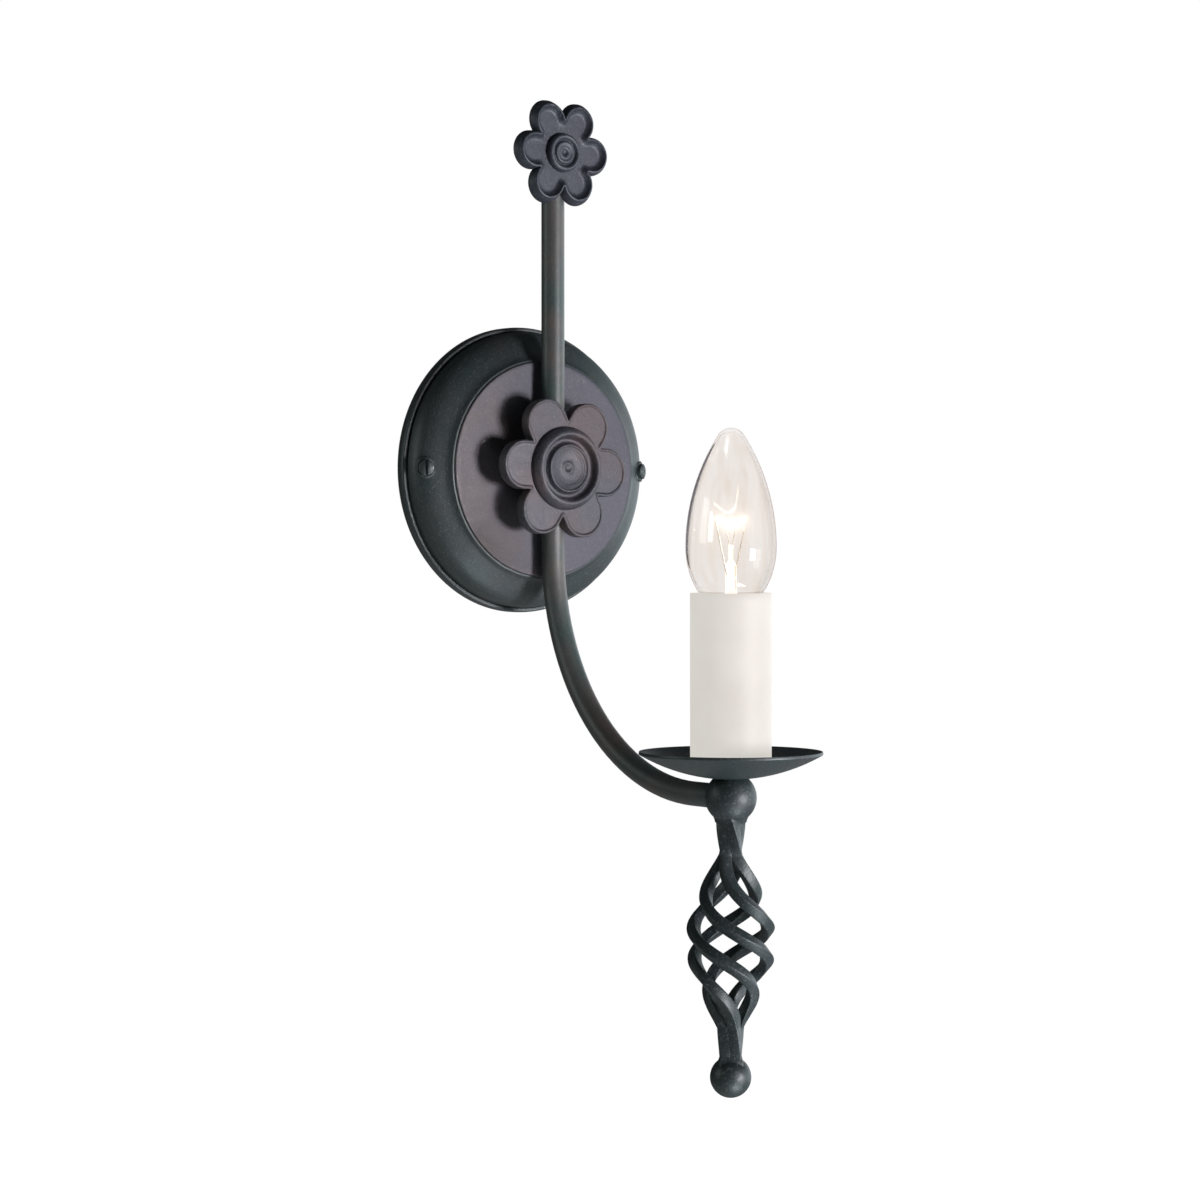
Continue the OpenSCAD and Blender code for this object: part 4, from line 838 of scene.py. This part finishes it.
points, faces = flower_mesh(at=15.2, r=8.0, side=7.4, back=flower_back, height=small_height,
                            centre_z=bud_up, turn=-1.2, inner=7.2, draft=1.6)
bud = new_piece("small_cast_flower", points, faces, small_iron, root,
                ["small_flower"], sharp=50)
print("small flower:", len(bud.data.vertices), "points")

# %% [markdown]
# ## The bosses
#
# Each flower has a turned boss in its middle: a round ring, a groove, and a shallow bowl
# with steps and a dimple, as the lathe tool leaves them. A bump could hint at the rings,
# but they are deep enough to hide a part of the bowl, so they are real shape. The outline
# starts at the foot, where the boss stands on the flower.

# %% The ringed bosses
large_foot, small_foot, small_size = 35.1, 32.7, 0.88
large_boss = [
    (17.3, 0.0), (17.3, 0.7), (17.05, 1.5), (16.65, 2.3), (16.15, 3.05), (15.6, 3.7),
    (15.0, 4.15), (14.4, 4.32), (13.85, 4.2), (13.4, 3.75), (13.05, 3.0), (12.75, 2.1),
    (12.4, 1.35), (11.9, 1.0), (11.2, 0.95), (10.7, 1.2), (10.35, 1.8), (10.1, 2.5),
    (9.85, 3.05), (9.5, 3.25), (9.15, 3.15), (8.85, 2.8), (8.5, 2.6), (8.05, 2.55),
    (7.75, 2.3), (7.1, 2.2), (6.8, 2.0), (6.0, 1.85), (5.0, 1.7), (4.0, 1.62), (3.2, 1.65),
    (2.7, 1.85), (2.1, 2.0), (1.6, 1.85), (1.0, 1.5), (0.5, 1.4), (0, 1.38)]
boss_line = [(r, large_foot + h) for r, h in soften(large_boss, 0.2, 2)]
points, faces = lathe(boss_line, turned_on_wall, 160)
boss = new_piece("large_ringed_boss", points, faces, cast_iron, root,
                 ["large_flower_boss"], sharp=60)

small_boss = [
    (9.2, 0.0), (9.15, 0.8), (9.0, 1.7), (8.6, 2.45), (8.0, 2.85), (7.35, 2.9), (6.75, 2.65),
    (6.3, 2.1), (6.0, 1.6), (5.7, 1.5), (5.45, 1.75), (5.2, 2.2), (4.8, 2.45), (4.2, 2.45),
    (3.6, 2.25), (3.1, 2.2), (2.6, 2.3), (2.0, 2.2), (1.5, 1.95), (1.0, 1.55), (0.5, 1.4),
    (0, 1.38)]


def turned_on_small_flower(radius, out, turn):
    return turned_on_wall(radius, out, turn) + Vector((0, 0, bud_up * mm))


bud_line = [(small_size * r, small_foot + h) for r, h in soften(small_boss, 0.2, 2)]
points, faces = lathe(bud_line, turned_on_small_flower, 128)
button = new_piece("small_ringed_boss", points, faces, small_iron, root,
                   ["small_flower_boss"], sharp=60)
print("bosses:", boss.name, button.name)

# %% [markdown]
# ## The drip pan
#
# The pan is a disc of 1.2 mm sheet pressed to a shallow bowl. Its edge is ground round. The
# bowl's curve is a circle of 70.4 mm radius, whose centre lies above the pan.

# %% The pan's outline
pan_foot, sheet, bowl_r = 7.6, 1.2, 70.4
hole_r, seat_r, bend_r = 5.1, 8.4, 9
pan_centre = pan_foot + sqrt(bowl_r ** 2 - bend_r ** 2)


def bowl(radius, curve):
    return pan_centre - sqrt(curve * curve - radius * radius)


under = [(r, bowl(r, bowl_r)) for r in (bend_r, 11, 14, 17, 20, 23, 26, 29, 32, 34, 35.1)]
inside = [(r, bowl(r, bowl_r - sheet)) for r in (34.9, 33.5, 31, 28, 25, 22, 19, 16, 13, 10.5)]
edge = [(35.45, under[-1][1] + 0.25), (35.5, under[-1][1] + 0.75),
        (35.3, inside[0][1] + 0.06)]
pan_line = ([(hole_r, pan_foot), (seat_r, pan_foot)] + under + edge + inside
            + [(seat_r, pan_foot + sheet), (hole_r, pan_foot + sheet), (hole_r, pan_foot)])
points, faces = lathe(pan_line, turned_on_stem, 180)
new_piece("pressed_pan", points, faces, iron, root, ["drip_pan"], sharp=35)
print("pan rim is", round(under[-1][1], 2), "mm above the ball's centre")

# %% [markdown]
# ## The candle sleeve
#
# A card tube, cut square. Its cut edges are a touch rounded, and the tube is never perfectly
# round, so its wall wanders by a tenth of a millimetre.

# %% The sleeve
sleeve_foot, sleeve_top = 10.35, 78.7
wall_out, wall_in = 15.7, 14.75
cut_out, cut_in = wall_out - 0.25, wall_in + 0.25
heights = [sleeve_foot + 0.3 + (sleeve_top - sleeve_foot - 0.6) * i / 24 for i in range(25)]
sleeve_line = ([(cut_out, sleeve_foot)] + [(wall_out, h) for h in heights]
               + [(cut_out, sleeve_top), (cut_in, sleeve_top)]
               + [(wall_in, h) for h in reversed(heights)]
               + [(cut_in, sleeve_foot), (cut_out, sleeve_foot)])


def card_tube(radius, up, turn):
    wander = 0.05 * sin(2 * turn + up * 0.03)
    return turned_on_stem(radius + wander, up, turn)


points, faces = lathe(sleeve_line, card_tube, 128)
new_piece("ivory_sleeve", points, faces, ivory_card, "sleeve",
          ["candle_sleeve"], sharp=50)
print("sleeve:", round(sleeve_top - sleeve_foot, 1), "mm long")

# %% [markdown]
# ## The lamp's bulb
#
# A candle bulb is blown in a mould. Its outline is a small round tip, a long flat arc down to
# the widest place, and a rounder arc and a cone down to the cap. The inside is the same
# line pushed in by the wall, so the glass bends light at both faces. Arcs that meet
# without a corner are worked out, not drawn by hand, since glass shows every kink. The tip
# is thicker, where the flame closed it.

# %% The bulb
def bulb_line(push):
    """The bulb's outline from the tip down, moved in by push."""
    bulb_r, tip, wide_at, rise = 17.5, 142.1, 96.3, 45.8
    side_r, base_r, base_turn = 80, 33, radians(28.6)
    side_x, base_x = bulb_r - side_r, bulb_r - base_r
    tip_r = (side_r ** 2 - side_x ** 2 - rise ** 2) / (2 * (side_r - rise))
    tip_turn = atan2(rise - tip_r, -side_x)
    line = []
    for i in range(21):
        a = pi / 2 + (tip_turn - pi / 2) * i / 20
        line.append(((tip_r - push) * cos(a), tip - tip_r + (tip_r - push) * sin(a)))
    for i in range(1, 49):
        a = tip_turn * (1 - i / 48)
        line.append((side_x + (side_r - push) * cos(a), wide_at + (side_r - push) * sin(a)))
    for i in range(1, 19):
        a = -base_turn * i / 18
        line.append((base_x + (base_r - push) * cos(a), wide_at + (base_r - push) * sin(a)))
    line[0] = (0, line[0][1])
    return line + [(8.6 - push, 72.4), (7.95 - push, 70.0), (7.95 - push, 68.2)]


outside, hollow = bulb_line(0), bulb_line(0.7)
tip_from = 132
hollow = [(r, up - 0.5 * max(0, (up - tip_from) / 10) ** 2) for r, up in hollow]
points, faces = lathe(outside + hollow[::-1], turned_on_stem, 200)
bulb = new_piece("candle_bulb", points, faces, bulb_glass, "lamp",
                 ["lamp_glass"], sharp=60)
bulb.visible_shadow = False    # clear glass throws next to no shadow
print("bulb:", len(bulb.data.vertices), "points")

# %% [markdown]
# ## The filament
#
# The filament is a coil of thin tungsten wire that hangs in a shallow dip between its two
# leads, over two supports. A coil is a helix round that path, and a curve with a round bevel
# could draw it. Here a small function puts rings along the path, so the finished mesh is
# known point by point. The wire is 0.09 mm thick on the real lamp. It's drawn at 0.2 mm,
# so that the picture shows it.

# %% The coiled wire
def tube_on_path(path, radius, sides):
    """A round tube with closed ends along a list of points, carried without twist."""
    points, side = [], None
    for i, here in enumerate(path):
        run = (path[min(i + 1, len(path) - 1)] - path[max(i - 1, 0)]).normalized()
        if side is None:
            side = run.cross(Vector((0.3, 0.9, 0.31))).normalized()
        side = (side - run * side.dot(run)).normalized()
        other = run.cross(side)
        for k in range(sides):
            a = 2 * pi * k / sides
            points.append(here + (side * cos(a) + other * sin(a)) * radius)
    rings = ring_rows(len(path), sides)
    return points, bands(rings) + [tuple(rings[0]), tuple(rings[-1])]


def coil_path(nodes_at, turns, radius, per_turn=9):
    """A helix of this radius round straight runs between the given points, in mm."""
    lengths = [0]
    for a, b in zip(nodes_at, nodes_at[1:]):
        lengths.append(lengths[-1] + (Vector(b) - Vector(a)).length)
    path = []
    total = turns * per_turn
    for i in range(total + 1):
        s = lengths[-1] * i / total
        k = max(j for j in range(len(lengths) - 1) if lengths[j] <= s + 1e-9)
        t = (s - lengths[k]) / (lengths[k + 1] - lengths[k])
        middle = Vector(nodes_at[k]).lerp(Vector(nodes_at[k + 1]), t)
        a = 2 * pi * i / per_turn
        path.append(from_ball(middle + Vector((0, cos(a), sin(a))) * radius))
    return path


filament_at = [(-7.1, 0, 107.55), (-2.4, 0, 104.65), (2.4, 0, 104.65), (7.1, 0, 107.55)]
helix = coil_path(filament_at, turns=44, radius=0.34)
points, faces = tube_on_path(helix, radius=0.1 * mm, sides=6)
coil = new_piece("tungsten_coil", points, faces, tungsten, "lamp",
                 ["lamp_filament"], sharp=80)
coil.visible_diffuse = False    # its light is too small a source to sample well
print("coil:", len(coil.data.polygons), "faces")

# %% [markdown]
# ## The basket
#
# Four square bars are welded together at both ends, heated and twisted. Then they're
# untwisted a little, which makes them spring apart in the middle: a smith's basket. Each bar's
# middle line follows the twist, and its square section keeps one corner pointing outwards.
# The smith's vice and hammer leave the corners worn and the faces slightly uneven. In the
# closed necks the bars are fused, so the corners that touch stay sharp there.

# %% The path of a bar
ball_r, upper_neck, basket_len, lower_neck, end_ball_r = 10, 12.6, 65.5, 11.6, 8
basket_wide = 35.6
bar_half = 4.2 / sqrt(2)    # from a bar's middle to its corner
neck_r = bar_half + 0.03
open_top = -(ball_r + upper_neck)
open_end = open_top - basket_len
twist, gather, start_turn = 332, 0.32, 14
upper_twist = twist * (1 - gather) / basket_len
lower_twist = 1.7
end_ball_up = open_end - lower_neck - end_ball_r
swell = basket_wide / 2 - bar_half - (bar_half + 0.14)


def along_basket(up):
    """From 0 at the top of the open part to 1 at its end."""
    return min(max((open_top - up) / basket_len, 0), 1)


def bar_turn(up):
    """How far the bundle has turned at this height, in degrees."""
    if up > open_top:
        return start_turn + (open_top - up) * upper_twist
    if up < open_end:
        return start_turn + twist + (open_end - up) * lower_twist
    t = along_basket(up)
    return start_turn + twist * (t - gather * sin(2 * pi * t) / (2 * pi))


def bar_middle(up, first):
    a = radians(bar_turn(up) + first)
    r = neck_r + swell * max(sin(pi * along_basket(up)), 0) ** 1.15
    return Vector((r * cos(a), r * sin(a), up))


print("basket from", round(open_top, 1), "to", round(open_end, 1), "mm")

# %% [markdown]
# A curve with a square bevel could make a bar, but then the square turns as the curve likes.
# Here each level of the bar gets sixteen points, four round each corner, and the first corner
# always faces out. Two slow noises change the size and dent the faces.

# %% The bars
def forged_bar(first, seed):
    """One bar from inside the joint ball to inside the end ball. First is its turn."""
    in_joint, in_end, round_bar = 7.9, 6.2, 16
    open_worn, fused_worn = 0.55, 0.12
    tops = [-in_joint + (open_top + in_joint) * i / 16 for i in range(16)]
    middle = [open_top - basket_len * i / 170 for i in range(170)]
    lows = [open_end + (end_ball_up + in_end - open_end) * i / 14 for i in range(15)]
    levels = tops + middle + lows
    points = []
    for up in levels:
        here = bar_middle(up, first)
        run = (bar_middle(up - 0.05, first) - bar_middle(up + 0.05, first)).normalized()
        out = Vector((here.x, here.y, 0)).normalized()
        a = (out - run * out.dot(run)).normalized()
        b = run.cross(a)
        free = eased(along_basket(up), 0.02, 0.16) * eased(1 - along_basket(up), 0.02, 0.16)
        size = bar_half * (1 + 0.012 * noise.noise(Vector((up * 0.22, seed * 7.3, 0.4))))
        for corner in range(4):
            fused = fused_worn + (open_worn - fused_worn) * free
            worn = open_worn if corner == 0 else fused
            way = radians(90 * corner)
            for lean in (-45, -15, 15, 45):
                turn = way + radians(lean)
                x = (size - worn * sqrt(2)) * cos(way) + worn * cos(turn)
                y = (size - worn * sqrt(2)) * sin(way) + worn * sin(turn)
                dent = 0.05 * noise.noise(Vector((up * 0.35, corner * 3.1 + lean * 0.02, seed)))
                spot = here + a * (x * (1 + dent / 3)) + b * (y * (1 + dent / 3))
                points.append(from_ball(spot))
    rings = ring_rows(len(levels), round_bar)
    return points, bands(rings) + [tuple(rings[0]), tuple(rings[-1])]


for number in (1, 2, 3, 4):
    points, faces = forged_bar(90 * (number - 1), number)
    bar = new_piece(f"forged_bar_{number}", points, faces, bar_iron, root,
                    [f"basket_bar_{number}"], sharp=60)
print("bars:", len(bar.data.polygons), "faces each")

# %% [markdown]
# ## The welds
#
# Where the bundle meets a ball, a run of weld metal fills the corner. It was ground and
# painted, so it's a small uneven fillet that follows the square of the bundle and turns
# with it. Its rings are the bundle's square with an edge added. The edge is widest on the
# ball and shrinks to nothing up the bundle, and a noise makes it lumpy.

# %% Fillets on the balls
def weld_fillet(ball_up, radius, side, reach, seed):
    """Side is -1 under the joint ball and 1 over the end ball."""
    points = []
    steps, levels = 96, 9
    sunk, tall = 0.35, 1.9
    half = (bar_half * 2 + 0.05) * 1.02
    for level in range(levels):
        t = level / (levels - 1)
        for i in range(steps):
            a = 2 * pi * i / steps
            square = half / (abs(cos(a)) + abs(sin(a)))
            lump = 0.12 * noise.noise(Vector((cos(a) * 2.2, sin(a) * 2.2, t * 1.5 + seed)))
            grow = (reach + lump) * (1 - t) ** 2 + 0.05
            r = square + grow
            on_ball = sqrt(max(radius ** 2 - r * r, 0)) - sunk
            up = ball_up + side * (on_ball + (tall + lump) * t)
            points.append(turned_on_stem(r, up, a + radians(bar_turn(up))))
    return points, bands(ring_rows(levels, steps))


points, faces = weld_fillet(0, ball_r, side=-1, reach=0.9, seed=2)
new_piece("upper_fillet", points, faces, bar_iron, root, ["upper_weld"], sharp=70)
points, faces = weld_fillet(end_ball_up, end_ball_r, side=1, reach=0.7, seed=5)
new_piece("lower_fillet", points, faces, bar_iron, root, ["lower_weld"], sharp=70)
print("end ball's centre is", round(end_ball_up, 1), "mm below the joint ball's centre")

# %% [markdown]
# ## Finishes for the pieces that keep their CAD shape
#
# The record says which finish each node has. A table turns each of its words into one of the
# materials above, so that the parts inside are dressed as carefully as those in view. A
# second table names the iron nodes that have a paint of their own.

# %% Dress the CAD nodes
finishes = {
    "black_iron": iron, "zinc_steel": zinc, "brass": brass, "nickel": nickel,
    "tungsten": tungsten, "solder": solder, "clear_glass": bulb_glass,
    "stem_glass": stem_glass, "black_glass": black_glass, "ivory_card": ivory_card,
    "holder_plastic": thermoset, "white_nylon": nylon, "live_insulation": live_cover,
    "neutral_insulation": neutral_cover, "earth_insulation": earth_cover}
special = {"joint_ball": bar_iron, "end_ball": bar_iron, "arm_tube": tube_iron_with_painted_light,
           "small_flower": small_iron, "small_flower_boss": small_iron}
for part in frame["record"]["subparts"]:
    finish = special.get(part["node"], finishes[part["material_slot"]])
    for seat in nodes[part["node"]].material_slots:
        seat.material = finish

# %% [markdown]
# ## The lamp's glow
#
# A lens scatters a little of a very bright light over its surroundings. The glare node does
# the same after the render: it takes what is far brighter than white paper, which
# here is only the filament, and spreads it. The spread light is faint, so it's made brighter
# by itself before it's added to the picture. That leaves all the rest as it was.

# %% Glow in the lens
scene.use_nodes = True
darkroom = scene.node_tree
darkroom.nodes.clear()
picture = darkroom.nodes.new("CompositorNodeRLayers")
glow = add_node(darkroom, "CompositorNodeGlare", {
    "glare_type": "BLOOM", "quality": "HIGH", "Threshold": 4.0, "Smoothness": 0.0,
    "Strength": 1.0, "Size": 0.5}, {"Image": (picture, "Image")})
more = add_node(darkroom, "CompositorNodeExposure", {"Exposure": 2.35},
                {"Image": (glow, "Glare")})
both = add_node(darkroom, "CompositorNodeMixRGB", {"blend_type": "ADD"},
                {1: (picture, "Image"), 2: (more, "Image")})
add_node(darkroom, "CompositorNodeComposite", links={"Image": (both, "Image")})
print("glare:", glow.glare_type)
